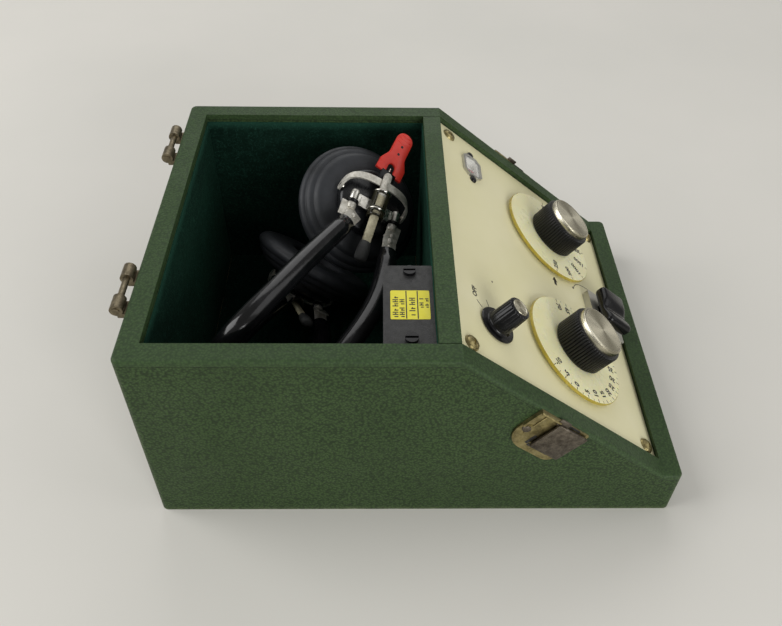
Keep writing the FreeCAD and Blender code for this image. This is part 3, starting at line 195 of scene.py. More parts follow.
def leathercloth():
    """Embossed green leathercloth: matt paint in a pebble grain of about 1 mm, with painted shade in its
    creases, and lighter near its edges, where it is rubbed and where a highlight is painted.
    """
    made, tree, shader = finish("green_leathercloth", "2E4023", 0.58, Specular_IOR_Level=0.22)
    place = object_place(tree)
    x, y, z = add(tree, "SeparateXYZ", {"Vector": place}).node.outputs
    # the pebbles are bent out of line by up to about 1 mm
    warped = add(tree, "TexNoise", {"Vector": place, "Scale": METRE / PEBBLE_WAVE, "Detail": 2.0}, "Color")
    bent = add(tree, "Mix", {0: 1.2 * MM, 4: place, 5: warped}, 1, data_type="VECTOR")
    pebbles = add(tree, "TexVoronoi", {"Vector": bent, "Scale": METRE / PEBBLE, "Smoothness": 0.25},
                  feature="SMOOTH_F1")
    lumps = add(tree, "TexNoise", {"Vector": place, "Scale": METRE / WEAVE_LUMP, "Detail": 5.0,
                                   "Roughness": 0.62})
    # the strip that is wrapped over the top edge ends about 3 mm down the wall, in a groove
    rim = add(tree, "MapRange", {"Value": y, "From Min": LIP_INNER_Y * MM, "From Max": SLOPE_TOP_Y * MM,
                                 "To Min": LIP_HEIGHT * MM, "To Max": CASE_HEIGHT * MM})
    below_rim = add(tree, "Math", {0: rim, 1: z}, operation="SUBTRACT")
    on_strip = add(tree, "MapRange", {"Value": below_rim, "From Min": 2.9 * MM, "From Max": 3.5 * MM,
                                      "To Min": 1.0, "To Max": 0.0})
    off_strip = add(tree, "Math", {0: 1.0, 1: on_strip}, operation="SUBTRACT")
    in_groove = add(tree, "Math", {0: on_strip, 1: off_strip}, operation="MULTIPLY")
    groove = add(tree, "Math", {0: in_groove, 1: 4.0}, operation="MULTIPLY")
    # lighter within about 2 mm of the foot and the upright corners: rubbed, and a painted highlight where the
    # edges catch the light
    off_middle = add(tree, "Math", {0: x}, operation="ABSOLUTE")
    from_side = add(tree, "Math", {0: HALF_WIDTH * MM, 1: off_middle}, operation="SUBTRACT")
    off_centre = add(tree, "Math", {0: y}, operation="ABSOLUTE")
    from_end = add(tree, "Math", {0: HALF_DEPTH * MM, 1: off_centre}, operation="SUBTRACT")
    corner = add(tree, "Math", {0: from_side, 1: from_end}, operation="MAXIMUM")
    from_foot = add(tree, "Math", {0: z}, operation="ABSOLUTE")
    edge = add(tree, "Math", {0: corner, 1: from_foot}, operation="MINIMUM")
    rubbed = add(tree, "MapRange", {"Value": edge, "From Min": 0.4 * MM, "From Max": 2.4 * MM,
                                    "To Min": 1.0, "To Max": 0.0})
    patchy = cloudy(tree, place, 9.0, 0.0, 0.55, 6.0)
    wear_and_edge_highlight = add(tree, "Math", {0: rubbed, 1: patchy}, operation="MULTIPLY", use_clamp=True)
    # the creases between the pebbles are darker: painted shade
    ground = add(tree, "Mix", {0: cloudy(tree, place, 60.0, 0.0, 1.0), 6: "344826", 7: "3B502C"}, **COLOURS)
    crease = add(tree, "MapRange", {"Value": pebbles, "From Min": 0.25, "From Max": 0.7, "To Max": 0.75})
    crease_shaded = add(tree, "Mix", {0: crease, 6: ground, 7: "172412"}, **COLOURS)
    strip_tone = add(tree, "Math", {0: on_strip, 1: 0.35}, operation="MULTIPLY")
    banded = add(tree, "Mix", {0: strip_tone, 6: crease_shaded, 7: "394E30"}, **COLOURS)
    # the groove is also darkened: a painted shade line along it
    groove_shade_tone = add(tree, "Math", {0: groove, 1: 0.55}, operation="MULTIPLY")
    groove_shaded = add(tree, "Mix", {0: groove_shade_tone, 6: banded, 7: "141F0C"}, **COLOURS)
    # lightened at the edges: wear, and a painted highlight
    worn = add(tree, "Mix", {0: wear_and_edge_highlight, 6: groove_shaded, 7: "66714F"}, **COLOURS)
    under = add(tree, "Bump", {"Height": lumps, "Distance": 0.3 * MM, "Strength": 0.8})
    domes = add(tree, "Math", {0: pebbles, 1: -1.0}, operation="MULTIPLY")
    height = add(tree, "Math", {0: domes, 1: groove}, operation="SUBTRACT")
    bump = add(tree, "Bump", {"Height": height, "Distance": 0.2 * MM, "Strength": 0.85, "Normal": under})
    fill(tree, shader, {"Base Color": worn, "Roughness": cloudy(tree, place, 25.0, 0.46, 0.62),
                        "Normal": bump})
    return made


def baize():
    """Pressed wool felt: matted fibres about 2 mm long, which catch light at a low angle."""
    made, tree, shader = finish("dark_green_felt", "08261D", 0.95, Specular_IOR_Level=0.08, Sheen_Weight=0.1,
                                Sheen_Roughness=0.6, Sheen_Tint="3A7E62")
    place = object_place(tree)
    fibres = add(tree, "TexNoise", {"Vector": place, "Scale": METRE / FELT_FIBRE, "Detail": 8.0,
                                    "Roughness": 0.8, "Distortion": 1.6})
    tufts = cloudy(tree, place, 3.5, 0.0, 1.0, 5.0, 0.7)
    nap = cloudy(tree, place, 26.0, 0.0, 1.0, 3.0)
    ground = add(tree, "Mix", {0: nap, 6: "06150F", 7: "0E281E"}, **COLOURS)
    between = add(tree, "Math", {0: tufts, 1: 0.6}, operation="MULTIPLY")
    fuzzy = add(tree, "Mix", {0: between, 6: ground, 7: "04120D"}, **COLOURS)
    lint = add(tree, "MapRange", {"Value": fibres, "From Min": 0.5, "From Max": 0.72, "To Max": 0.8})
    matted = add(tree, "Mix", {0: lint, 6: fuzzy, 7: "284F41"}, **COLOURS)
    # the top is paler for about 4 mm: a painted highlight where the cut edge catches the light
    height = add(tree, "SeparateXYZ", {"Vector": place}, "Z")
    top_edge_highlight = add(tree, "MapRange", {"Value": height, "From Min": (FELT_TOP - 5.0) * MM,
                                      "From Max": (FELT_TOP - 1.0) * MM, "To Max": 0.35})
    top_edge_lit = add(tree, "Mix", {0: top_edge_highlight, 6: matted, 7: "2F5C4C"}, **COLOURS)
    under = add(tree, "Bump", {"Height": tufts, "Distance": 0.5 * MM, "Strength": 0.6})
    bump = add(tree, "Bump", {"Height": fibres, "Distance": 0.35 * MM, "Strength": 0.9, "Normal": under})
    fill(tree, shader, {"Base Color": top_edge_lit, "Normal": bump})
    return made


TURNED = "turned"               # UV of a turned face: the angle in tenths of a turn, and the radius in mm
FAN_HIGHLIGHT_AT = 2.4                # where the painted highlight fans of a cap lie, in radians


def spun_aluminium():
    """Turned aluminium: rings of fine tool marks that spread a lamp's highlight, and two opposed fans of
    light painted on as highlights.
    """
    made, tree, shader = finish("spun_aluminium", "C9C4B0", 0.22, Metallic=1.0, Anisotropic=0.95)
    around = add(tree, "Tangent", {}, direction_type="UV_MAP", uv_map=TURNED)
    turned = add(tree, "UVMap", {}, uv_map=TURNED)
    angle, radius, _ = add(tree, "SeparateXYZ", {"Vector": turned}).node.outputs
    rings = add(tree, "TexNoise", {"W": radius, "Scale": 1 / TOOL_MARK, "Detail": 4.0},
                noise_dimensions="1D")
    # two opposed sectors are brighter: painted highlight fans, which stay fixed on the cap
    twice_round = add(tree, "Math", {0: angle, 1: 0.4 * math.pi, 2: FAN_HIGHLIGHT_AT}, operation="MULTIPLY_ADD")
    sectors = add(tree, "Math", {0: twice_round}, operation="COSINE")
    fan_highlight_tone = add(tree, "Math", {0: sectors, 1: 0.5, 2: 0.5}, operation="MULTIPLY_ADD")
    painted_fans = add(tree, "Mix", {0: fan_highlight_tone, 6: "A39D87", 7: "EFE9D4"}, **COLOURS)
    ring_tone = add(tree, "Math", {0: rings, 1: 0.35}, operation="MULTIPLY")
    tone = add(tree, "Mix", {0: ring_tone, 6: painted_fans, 7: "8F8973"}, **COLOURS)
    fill(tree, shader, {"Base Color": tone, "Tangent": around,
                        "Roughness": cloudy(tree, object_place(tree), 9.0, 0.22, 0.28, 3.0),
                        "Normal": add(tree, "Bump", {"Height": rings, "Distance": 0.02 * MM,
                                                     "Strength": 0.5})})
    return made


def enamel():
    """Stove enamel on sheet steel: even and slightly glossy, with a faint orange peel and yellowing."""
    made, tree, shader = finish("cream_enamel", "E2DCB4", 0.38)
    place = object_place(tree)
    yellowed = cloudy(tree, place, 45.0, 0.0, 1.0)
    peel = cloudy(tree, place, 1.6, 0.0, 1.0, 2.0)
    fill(tree, shader, {"Base Color": add(tree, "Mix", {0: yellowed, 6: "E4DEB8", 7: "DED8AC"}, **COLOURS),
                        "Roughness": cloudy(tree, place, 14.0, 0.33, 0.45, 5.0),
                        "Normal": add(tree, "Bump", {"Height": peel, "Distance": 0.02 * MM,
                                                     "Strength": 0.5})})
    return made


def ivory_acrylic():
    """Cast acrylic, 2 mm thick: light passes a little way into it, so it looks warm and deep."""
    made, tree, shader = finish("ivory_acrylic", "DEDAAE", 0.28, Subsurface_Weight=0.25,
                                Subsurface_Radius=(0.004, 0.003, 0.001), Subsurface_Scale=0.6)
    place = object_place(tree)
    tone = cloudy(tree, place, 18.0, 0.0, 1.0)
    fill(tree, shader, {"Base Color": add(tree, "Mix", {0: tone, 6: "ECE8BE", 7: "E4DFAE"}, **COLOURS),
                        "Roughness": cloudy(tree, place, 7.0, 0.24, 0.36, 6.0)})
    return made


def clear_acrylic():
    """A clear moulded window, faintly scratched."""
    made, tree, shader = finish("clear_window", "F4F6F4", 0.06, Alpha=0.14, IOR=1.49)
    fill(tree, shader, {"Roughness": cloudy(tree, object_place(tree), 2.5, 0.02, 0.16, 8.0)})
    return made


def worn_plate(name, plating, worn, dirt, roughness, patch_mm, metallic=1.0):
    """Plating rubbed through in patches, with dirt that has settled into it."""
    made, tree, shader = finish(name, plating, roughness, Metallic=metallic)
    place = object_place(tree)
    rubbed = cloudy(tree, place, patch_mm, 0.0, 1.0, 7.0, 0.68)
    soiled = cloudy(tree, place, patch_mm * 2.2, -0.25, 0.8, 8.0, 0.7)
    dirt_tone = add(tree, "Math", {0: soiled, 1: 0.0}, operation="MAXIMUM")
    bare = add(tree, "Mix", {0: rubbed, 6: plating, 7: worn}, **COLOURS)
    fill(tree, shader, {"Base Color": add(tree, "Mix", {0: dirt_tone, 6: bare, 7: dirt}, **COLOURS),
                        "Roughness": cloudy(tree, place, patch_mm * 0.7, roughness - 0.12, roughness + 0.18,
                                            8.0),
                        "Normal": add(tree, "Bump", {"Height": rubbed, "Distance": 0.02 * MM,
                                                     "Strength": 0.4})})
    return made


def sleeving():
    """Black vinyl tube drawn over spring wire: glossy, with a faint unevenness from the wire under it."""
    made, tree, shader = finish("black_vinyl", "0B0B0C", 0.16, Coat_Weight=0.15, Coat_Roughness=0.08,
                                Specular_IOR_Level=0.4)
    place = object_place(tree)
    tone = cloudy(tree, place, 9.0, 0.0, 1.0)
    uneven = cloudy(tree, place, 5.0, 0.0, 1.0, 2.0)
    fill(tree, shader, {"Base Color": add(tree, "Mix", {0: tone, 6: "09090A", 7: "151517"}, **COLOURS),
                        "Roughness": cloudy(tree, place, 3.0, 0.1, 0.24, 7.0),
                        "Normal": add(tree, "Bump", {"Height": uneven, "Distance": 0.08 * MM,
                                                     "Strength": 0.4})})
    return made


def pine():
    """Bare softwood boards: pale, with grain lines about 3 mm apart along the board."""
    made, tree, shader = finish("bare_pine", "A98A5E", 0.75)
    place = object_place(tree, (1.0, 0.12, 1.0))
    rings = add(tree, "TexNoise", {"Vector": place, "Scale": METRE / PINE_GRAIN, "Detail": 6.0,
                                   "Distortion": 0.8})
    fill(tree, shader, {"Base Color": add(tree, "Mix", {0: rings, 6: "8A6B44", 7: "BFA075"}, **COLOURS),
                        "Normal": add(tree, "Bump", {"Height": rings, "Distance": 0.1 * MM,
                                                     "Strength": 0.5})})
    return made


# the case and its lining
LEATHERCLOTH = leathercloth()
FELT_CLOTH = baize()
PINE = pine()

# the panel and its controls
CREAM = enamel()
IVORY = ivory_acrylic()
SPUN = spun_aluminium()
CLEAR = clear_acrylic()
# sawn edge of the acrylic, yellowed with age: an amber line round each disc
AMBER = plain_finish("amber_cut_edge", "9F8C2A", "B2A040", 0.3, 5.0, grain_mm=0.6, grain_depth_mm=0.03)
# moulded phenolic: near black, with a low satin gloss
PHENOLIC = plain_finish("black_phenolic", "0A0A0A", "121210", 0.33, 4.0, grain_mm=0.8, grain_depth_mm=0.02,
                        Specular_IOR_Level=0.3)
# polished moulding: black, with small bright highlights
GLOSS_BLACK = plain_finish("glossy_black_moulding", "09090A", "111112", 0.22, 8.0, 0.05,
                           grain_mm=1.5, grain_depth_mm=0.02, Specular_IOR_Level=0.3)
# anodised aluminium: pale grey, with a soft sheen
BEZEL_GREY = plain_finish("satin_anodised_bezel", "A9A8A0", "C0BEB4", 0.34, 7.0, 0.06, Metallic=0.8,
                          grain_mm=0.6, grain_depth_mm=0.01)
# screen ink: flat and matt, and a little lighter than the mouldings
INK = plain_finish("black_screen_ink", "1A1916", "2A2924", 0.5, 3.0, 0.08)
RED_INK = plain_finish("red_screen_ink", "B2302A", "A3251F", 0.5, 3.0, 0.08)
# printed card: warm white and matt
CARD = plain_finish("meter_card", "E7E6DF", "DDDBD2", 0.6, 5.0, 0.05)

# the headset
VINYL = sleeving()
# moulded plastic: black, duller in patches where it is handled
RECEIVER_BLACK = plain_finish("receiver_moulding", "101113", "1A1B1D", 0.3, 8.0, 0.1,
                              grain_mm=1.2, grain_depth_mm=0.03)
# moulded rubber: charcoal and satin, so its ridges show as soft bands
CUSHION_RUBBER = plain_finish("moulded_ear_rubber", "1F2123", "303236", 0.5, 14.0, 0.08,
                              grain_mm=0.9, grain_depth_mm=0.04, Specular_IOR_Level=0.35)
# soft rubber: dark grey and matt
TIP_RUBBER = plain_finish("dark_grey_rubber", "2A2B2B", "3A3B3A", 0.6, 4.0, 0.08,
                          grain_mm=0.7, grain_depth_mm=0.05)
# moulded plastic that lets in a little light: a warm, even red
RED_PLASTIC = plain_finish("red_moulded_plastic", "B8251A", "CB3527", 0.36, 9.0, 0.08,
                           grain_mm=1.0, grain_depth_mm=0.02, Subsurface_Weight=0.1,
                           Subsurface_Radius=(0.002, 0.001, 0.0005))
# moulded plastic: a deep, even blue
BLUE_PLASTIC = plain_finish("blue_moulded_plastic", "1B2F80", "27409A", 0.36, 9.0, 0.08,
                            grain_mm=1.0, grain_depth_mm=0.02)
# polished moulding: olive black, and glossier than the receivers
BARREL_BLACK = plain_finish("barrel_moulding", "171610", "2A2819", 0.18, 3.0, 0.06,
                            grain_mm=0.8, grain_depth_mm=0.03)
# brushed paint: ivory, rough and stained in small patches
IVORY_PAINT = plain_finish("worn_ivory_paint", "DAD3B6", "B8AF90", 0.42, 1.8, 0.1,
                           grain_mm=0.9, grain_depth_mm=0.08)

# metals, most of them rubbed and a little dirty
# bright nickel plate: nearly white
NICKEL = worn_plate("nickel_plate", "EAE8E2", "D6D3CA", "A19C8E", 0.3, 2.5)
# satin nickel plate: pale grey, with broad highlights
SATIN_NICKEL = worn_plate("satin_nickel", "E2DFD6", "CFCBC0", "8E897C", 0.4, 2.0, 0.55)
# chrome plate: pale, with narrow highlights
RING_CHROME = plain_finish("chrome_ring", "D8D6CF", "B8B4A8", 0.15, 3.0, 0.06, Metallic=1.0)
# steel worn by the thumb: brown-grey, with dark dirt in it
CATCH_STEEL = worn_plate("worn_catch_slide", "7E766A", "5E564B", "2C2720", 0.4, 1.6)
# plated steel: mid grey
STEEL = worn_plate("plated_screw_steel", "B9B5AA", "8E887A", "3F3A30", 0.32, 1.5)
# tarnished nickel: brown over grey
TARNISHED = worn_plate("tarnished_nickel", "8E846E", "746A56", "3A3326", 0.42, 2.0)
# aged sheet brass: dull olive gold, and paler where it is rubbed
BRASS_AGED = worn_plate("aged_brass", "8C8050", "B0A478", "3E3722", 0.38, 2.4)
# brass turned for screws: a paler gold
BRASS_SCREW = worn_plate("brass_washers", "B9AC7C", "9A8D5E", "4A4128", 0.36, 1.6)
# clean turned brass: a full yellow gold
TURNED_BRASS = worn_plate("turned_brass", "B99A52", "C9AD66", "6B5A2C", 0.3, 4.0)
# ground steel: plain light grey
GROUND_STEEL = worn_plate("ground_steel", "A8A8A6", "BDBDBA", "6A6A66", 0.3, 3.0)

# the battery box, its label, and what the case holds out of sight
# crackle paint: black and matt, in low relief
BATTERY_PAINT = plain_finish("black_crackle_paint", "1B1B1B", "262625", 0.5, 7.0, 0.1,
                             grain_mm=0.7, grain_depth_mm=0.06)
# coated paper: a strong yellow, with a slight gloss
YELLOW_LABEL = plain_finish("yellow_paper_label", "D2C81F", "DBD236", 0.42, 6.0, 0.08,
                            grain_mm=0.6, grain_depth_mm=0.01)
# lacquered can: blue-black, and a little metallic
BATTERY_PRINT = plain_finish("battery_can", "1C1D22", "2A2B32", 0.35, 6.0, 0.08, Metallic=0.4)
# resin-bonded paper board: brown and satin
RESIN_BOARD = plain_finish("resin_bonded_board", "7A5A2A", "6B4C20", 0.5, 5.0, 0.08,
                           grain_mm=0.8, grain_depth_mm=0.04)
# moulded phenolic: a warm, dull brown
BROWN_PHENOLIC = plain_finish("switch_phenolic", "6E4522", "5C3719", 0.45, 4.0, 0.08)


# ---------------------------------------------------------------- shapes
NEAR = 1e-4             # points closer than this are one point


def joined(whole, part, where=Matrix()):
    """Adds one shape to another, moved to its place."""
    part.transform(where)
    scratch = bpy.data.meshes.new("scratch")
    part.to_mesh(scratch)
    part.free()
    whole.from_mesh(scratch)
    bpy.data.meshes.remove(scratch)


def lathe(profile, steps):
    """A shape turned about Z from (radius, height) points, closed where they touch the axis."""
    shape = bmesh.new()
    points = [shape.verts.new((radius, 0, height)) for radius, height in profile]
    edges = [shape.edges.new(pair) for pair in zip(points, points[1:])]
    bmesh.ops.spin(shape, geom=points + edges, cent=(0, 0, 0), axis=(0, 0, 1), angle=math.tau,
                   steps=steps, use_merge=True)
    bmesh.ops.remove_doubles(shape, verts=shape.verts, dist=NEAR)
    return shape


def arc(radius, degrees, x=0.0, across=1.0):
    """Points round a middle on the X axis, at each of some angles; across squashes or widens them."""
    angles = [math.radians(angle) for angle in degrees]
    return [(x + radius * math.cos(angle), radius * across * math.sin(angle)) for angle in angles]


def block(x, y, z, rounding=0.0, segments=3):
    """A block of three sizes about the origin, with its edges rounded."""
    shape = bmesh.new()
    bmesh.ops.create_cube(shape, size=1.0)
    bmesh.ops.scale(shape, vec=(x, y, z), verts=shape.verts)
    if rounding:
        bmesh.ops.bevel(shape, geom=shape.edges[:], offset=rounding, affect="EDGES", segments=segments,
                        profile=0.5, material=-1)
    return shape


def only(kind, parts):
    """The points or the edges of what an operator gave."""
    return [part for part in parts if isinstance(part, kind)]


def plate(outline, thickness, rounding=0.0):
    """A flat plate from an outline, raised by its thickness, with its rims rounded."""
    shape = bmesh.new()
    face = shape.faces.new([shape.verts.new((x, y, 0)) for x, y in outline])
    lifted = bmesh.ops.extrude_face_region(shape, geom=[face])["geom"]
    bmesh.ops.translate(shape, vec=(0, 0, thickness), verts=only(bmesh.types.BMVert, lifted))
    bmesh.ops.recalc_face_normals(shape, faces=shape.faces)
    if rounding:
        rims = [e for e in shape.edges if abs(e.verts[0].co.z - e.verts[1].co.z) < NEAR]
        bmesh.ops.bevel(shape, geom=rims, offset=rounding, affect="EDGES", segments=2, profile=0.5,
                        material=-1)
    return shape


def rod(radius, length, sides, rounding):
    """A round bar along X from the origin, with its ends rounded."""
    r = min(rounding, radius, length / 2)
    corner = r * 0.3        # a rounding's middle point lies this far in from both sides
    shape = lathe([(0, 0), (radius - r, 0), (radius - corner, corner), (radius, r), (radius, length - r),
                   (radius - corner, length - corner), (radius - r, length), (0, length)], sides)
    shape.transform(turn(90, "Y"))
    return shape


def sweep(stations, sides):
    """A skin over rings; each station is a frame and two half-sizes. Four sides make a flat strip."""
    shape = bmesh.new()
    rings = []
    strip = sides == 4
    for place, half_a, half_b in stations:
        radius = math.sqrt(2) if strip else 1.0
        made = bmesh.ops.create_circle(shape, segments=sides, radius=radius)["verts"]
        if strip:
            bmesh.ops.transform(shape, matrix=turn(45), verts=made)
        bmesh.ops.transform(shape, matrix=place @ Matrix.Diagonal((half_a, half_b, 1, 1)), verts=made)
        rings.append(list({e for v in made for e in v.link_edges}))
    for first, second in zip(rings, rings[1:]):
        bmesh.ops.bridge_loops(shape, edges=first + second)
    for end in (rings[0], rings[-1]):
        bmesh.ops.contextual_create(shape, geom=end)
    return shape


def smoothed(points, rounds=3):
    """A smooth line by cutting corners, through the first and last points."""
    line = [Vector(p) for p in points]
    for _ in range(rounds):
        cut = [line[0]]
        for a, b in zip(line, line[1:]):
            cut += [a.lerp(b, 0.25), a.lerp(b, 0.75)]
        line = cut + [line[-1]]
    return line


def piece(name, shape, body, surface, stands_for=(), where=Matrix(), crease=35.0):
    """Turns a shape drawn in millimetres into a finished piece that rides on a body."""
    shape.transform(Matrix.Scale(MM, 4) @ where)
    bmesh.ops.recalc_face_normals(shape, faces=shape.faces)
    for face in shape.faces:
        face.smooth = True
    limit = math.radians(crease)
    for edge in shape.edges:
        edge.smooth = len(edge.link_faces) == 2 and edge.calc_face_angle(0.0) < limit
    mesh = bpy.data.meshes.new(name)
    shape.to_mesh(mesh)
    shape.free()
    mesh.materials.append(surface)
    made = bpy.data.objects.new(name, mesh)
    bpy.context.scene.collection.objects.link(made)
    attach(made, body)
    if stands_for:
        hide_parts(*stands_for)
    return made


# ---------------------------------------------------------------- print
PRINT = 0.03            # thickness of the ink
BOLD = 0.05             # how much the figures are thickened, by their height
FONT_SIZE = 1.4         # a letter's size, for a height of 1


def lettering(text, height, where, whole):
    """Adds raised figures to a shape, drawn flat from the left in the XY plane of where."""
    drawn = bpy.data.curves.new("figures", "FONT")
    drawn.body = text
    drawn.size = height * FONT_SIZE
    drawn.align_x = "LEFT"
    drawn.align_y = "CENTER"
    drawn.extrude = PRINT / 2
    drawn.offset = height * BOLD
    drawn.resolution_u = 3
    holder = bpy.data.objects.new("figures", drawn)
    bpy.context.scene.collection.objects.link(holder)
    mesh = bpy.data.meshes.new_from_object(holder.evaluated_get(bpy.context.evaluated_depsgraph_get()))
    shape = bmesh.new()
    shape.from_mesh(mesh)
    bmesh.ops.remove_doubles(shape, verts=shape.verts, dist=NEAR)
    joined(whole, shape, where @ move(0, 0, PRINT / 2))
    bpy.data.objects.remove(holder)
    bpy.data.curves.remove(drawn)
    bpy.data.meshes.remove(mesh)


def stroke(whole, x0, y0, x1, y1, width, where):
    """Adds a straight printed line."""
    length = math.hypot(x1 - x0, y1 - y0)
    line = block(length, width, PRINT)
    middle = move((x0 + x1) / 2, (y0 + y1) / 2, PRINT / 2)
    joined(whole, line, where @ middle @ turn(math.degrees(math.atan2(y1 - y0, x1 - x0))))


def curved_stroke(whole, points, width, where):
    """Adds a smooth printed line through points."""
    line = smoothed([(x, y, 0) for x, y in points])
    for a, b in zip(line, line[1:]):
        stroke(whole, a.x, a.y, b.x, b.y, width, where)


# ---------------------------------------------------------------- felt lining
GLUE = 0.02             # what holds each sheet off its board
FELT_RIPPLE = 0.22
FELT_FUZZ = 0.25


def felt_panel(name, width, height, where, rough_top=True):
    """One glued sheet of felt, slightly uneven and with a fuzzy upper edge."""
    shape = bmesh.new()
    columns, rows = int(width / 4), int(height / 4)
    bmesh.ops.create_grid(shape, x_segments=columns, y_segments=rows, size=0.5)
    bmesh.ops.scale(shape, vec=(width, height, 1), verts=shape.verts)
    for v in shape.verts:
        ripple = noise.noise(v.co * 0.05 + Vector((width, height, 0)))
        if rough_top and v.co.y > height / 2 - 0.01:
            v.co.y += FELT_FUZZ * noise.noise(v.co * 0.3) - 0.1
        v.co.z = FELT - FELT_FUZZ + FELT_RIPPLE * ripple
    rim = [e for e in shape.edges if e.is_boundary]
    walls = bmesh.ops.extrude_edge_only(shape, edges=rim)["geom"]
    for v in only(bmesh.types.BMVert, walls):
        v.co.z = GLUE
    bmesh.ops.contextual_create(shape, geom=[e for e in only(bmesh.types.BMEdge, walls) if e.is_boundary])
    made = piece(name, shape, "case", FELT_CLOTH, ["felt_lining"], where, 50)


wall_height = FELT_TOP - FELT_FLOOR
wall_middle = (FELT_TOP + FELT_FLOOR) / 2
bay_depth = FELT_REAR_Y - FELT_FRONT_Y
bay_middle = (FELT_REAR_Y + FELT_FRONT_Y) / 2
across_bay = 2 * FELT_X - 2 * FELT - FELT_GAP
for side, word in ((-1, "left"), (1, "right")):
    inward = Vector((-side, 0, 0))
    felt_panel("felt_" + word, bay_depth - FELT_GAP, wall_height,
               axes(Vector((0, -side, 0)), UP, inward, Vector((side * FELT_X, bay_middle, wall_middle))))
for y, facing, word, board in ((FELT_REAR_Y, -1, "rear", "rear_board"),
                               (FELT_FRONT_Y, 1, "front", "divider_board")):
    felt_panel("felt_" + word, across_bay, wall_height,
               axes(Vector((-facing, 0, 0)), UP, Vector((0, facing, 0)), Vector((0, y, wall_middle))))
felt_panel("felt_floor", across_bay, bay_depth - 2 * FELT - FELT_GAP,
           axes(Vector((1, 0, 0)), Vector((0, 1, 0)), UP, Vector((0, bay_middle, FELT_FLOOR))),
           False)


# ---------------------------------------------------------------- dials
def turned_piece(name, profile, body, where, stands_for):
    """A lathe-turned piece that carries its angle and radius as UV, for tool marks that run round it."""
    shape = lathe(profile, 96)
    layer = shape.loops.layers.uv.new(TURNED)
    for face in shape.faces:
        middle = face.calc_center_median()
        near = math.atan2(middle.y, middle.x)
        for loop in face.loops:
            x, y = loop.vert.co.x, loop.vert.co.y
            radius = math.hypot(x, y)
            angle = near
            if radius > NEAR:
                angle += math.remainder(math.atan2(y, x) - near, math.tau)
            loop[layer].uv = (angle / math.tau * 10, radius + loop.vert.co.z)
    return piece(name, shape, body, SPUN, stands_for, where, 30)


FLUTES = 60
FLUTE_STEPS = 6         # points round each flute
RIB_FLATNESS = 1.6      # above 1, the ribs between the flutes have flat tops


def fluted_knob(stations):
    """A knob from (height, radius, flute depth) rings, grooved all the way round."""
    shape = bmesh.new()
    ring = bmesh.ops.create_circle(shape, segments=FLUTES * FLUTE_STEPS, radius=1.0)["verts"]
    loop = list({e for v in ring for e in v.link_edges})
    for step, (height, radius, depth) in enumerate(stations):
        if step:
            grown = bmesh.ops.extrude_edge_only(shape, edges=loop)["geom"]
            ring = only(bmesh.types.BMVert, grown)
            held = set(ring)
            loop = [e for e in only(bmesh.types.BMEdge, grown) if held.issuperset(e.verts)]
        for v in ring:
            angle = math.atan2(v.co.y, v.co.x)
            rib = min(1.0, RIB_FLATNESS * abs(math.cos(angle * FLUTES / 2)))
            reach = radius - depth * (1 - rib)
            v.co = Vector((reach * math.cos(angle), reach * math.sin(angle), height))
    bmesh.ops.holes_fill(shape, edges=shape.edges, sides=0)
    return shape


DISC_PROFILE = [(14.0, DISC_UNDER), (31.0, DISC_UNDER), (DISC_RADIUS, DISC_UNDER + 0.4),
                (DISC_RADIUS, DISC_TOP - 0.35), (31.2, DISC_TOP - 0.05), (30.9, DISC_TOP), (14.0, DISC_TOP),
                (14.0, DISC_UNDER)]
KNOB_STATIONS = [(DISC_TOP + 0.01, 14.0, 0.0), (DISC_TOP + 0.5, 14.2, 0.0), (DISC_TOP + 0.8, 14.2, 0.0),
                 (DISC_TOP + 0.95, 14.9, 0.5), (DISC_TOP + 1.3, 15.2, 0.75), (KNOB_TOP - 0.9, 15.2, 0.75),
                 (KNOB_TOP - 0.35, 14.95, 0.5), (KNOB_TOP, 14.3, 0.05), (KNOB_TOP, 13.0, 0.0)]
CAP_PROFILE = [(13.0, KNOB_TOP - 0.2), (13.4, KNOB_TOP), (13.4, CAP_TOP - 1.1), (13.2, CAP_TOP - 0.5),
               (12.8, CAP_TOP - 0.15), (12.2, CAP_TOP), (11.9, CAP_TOP - 0.12), (11.6, CAP_TOP - 0.12),
               (0.0, CAP_TOP - 0.16)]

# each figure's angle on its disc, in degrees
LEVEL_STEP = 15
LEVEL_MARKS = [(136 + LEVEL_STEP * step, str(-10 + 5 * step)) for step in range(17)]
TONES = ("250", "500", "1000", "1500", "2000", "3000", "4000", "8000")
FREQUENCY_MARKS = [(178 + 26 * step, tone) for step, tone in enumerate(TONES)]
TICK_OUT, TICK_IN, SHORT_TICK_IN = 31.1, 29.3, 29.9
FIGURES_OUT = 28.4

for word, marks, size in (("level", LEVEL_MARKS, 3.1), ("frequency", FREQUENCY_MARKS, 3.0)):
    body = word + "_dial"
    middle = PANEL @ move(*DIALS[word])
    disc = piece(word + "_dial_disc", lathe(DISC_PROFILE, 128), body, IVORY,
                 [word + "_disc"], middle, 40)
    # the disc's cut edge is yellowed
    disc.data.materials.append(AMBER)
    for face in disc.data.polygons:
        outward = middle.inverted() @ (face.center / MM)
        if math.hypot(outward.x, outward.y) > DISC_RADIUS - 0.4 and outward.z < DISC_TOP - 0.06:
            face.material_index = 1
    figures = bmesh.new()
    for degrees, label in marks:
        direction = middle @ turn(degrees) @ move(0, 0, DISC_TOP)
        stroke(figures, TICK_IN, 0, TICK_OUT, 0, 0.42, direction)
        lettering(label, size, direction @ move(FIGURES_OUT) @ turn(180), figures)
    if word == "level":
        for degrees, _ in marks[:-1]:
            direction = middle @ turn(degrees + LEVEL_STEP / 2) @ move(0, 0, DISC_TOP)
            stroke(figures, SHORT_TICK_IN, 0, TICK_OUT, 0, 0.3, direction)
    piece(word + "_figures", figures, body, INK)
    piece(word + "_fluted_knob", fluted_knob(KNOB_STATIONS), body, PHENOLIC, [word + "_knob"],
          middle, 60)
    turned_piece(word + "_spun_cap", CAP_PROFILE, body, middle, [word + "_cap"])

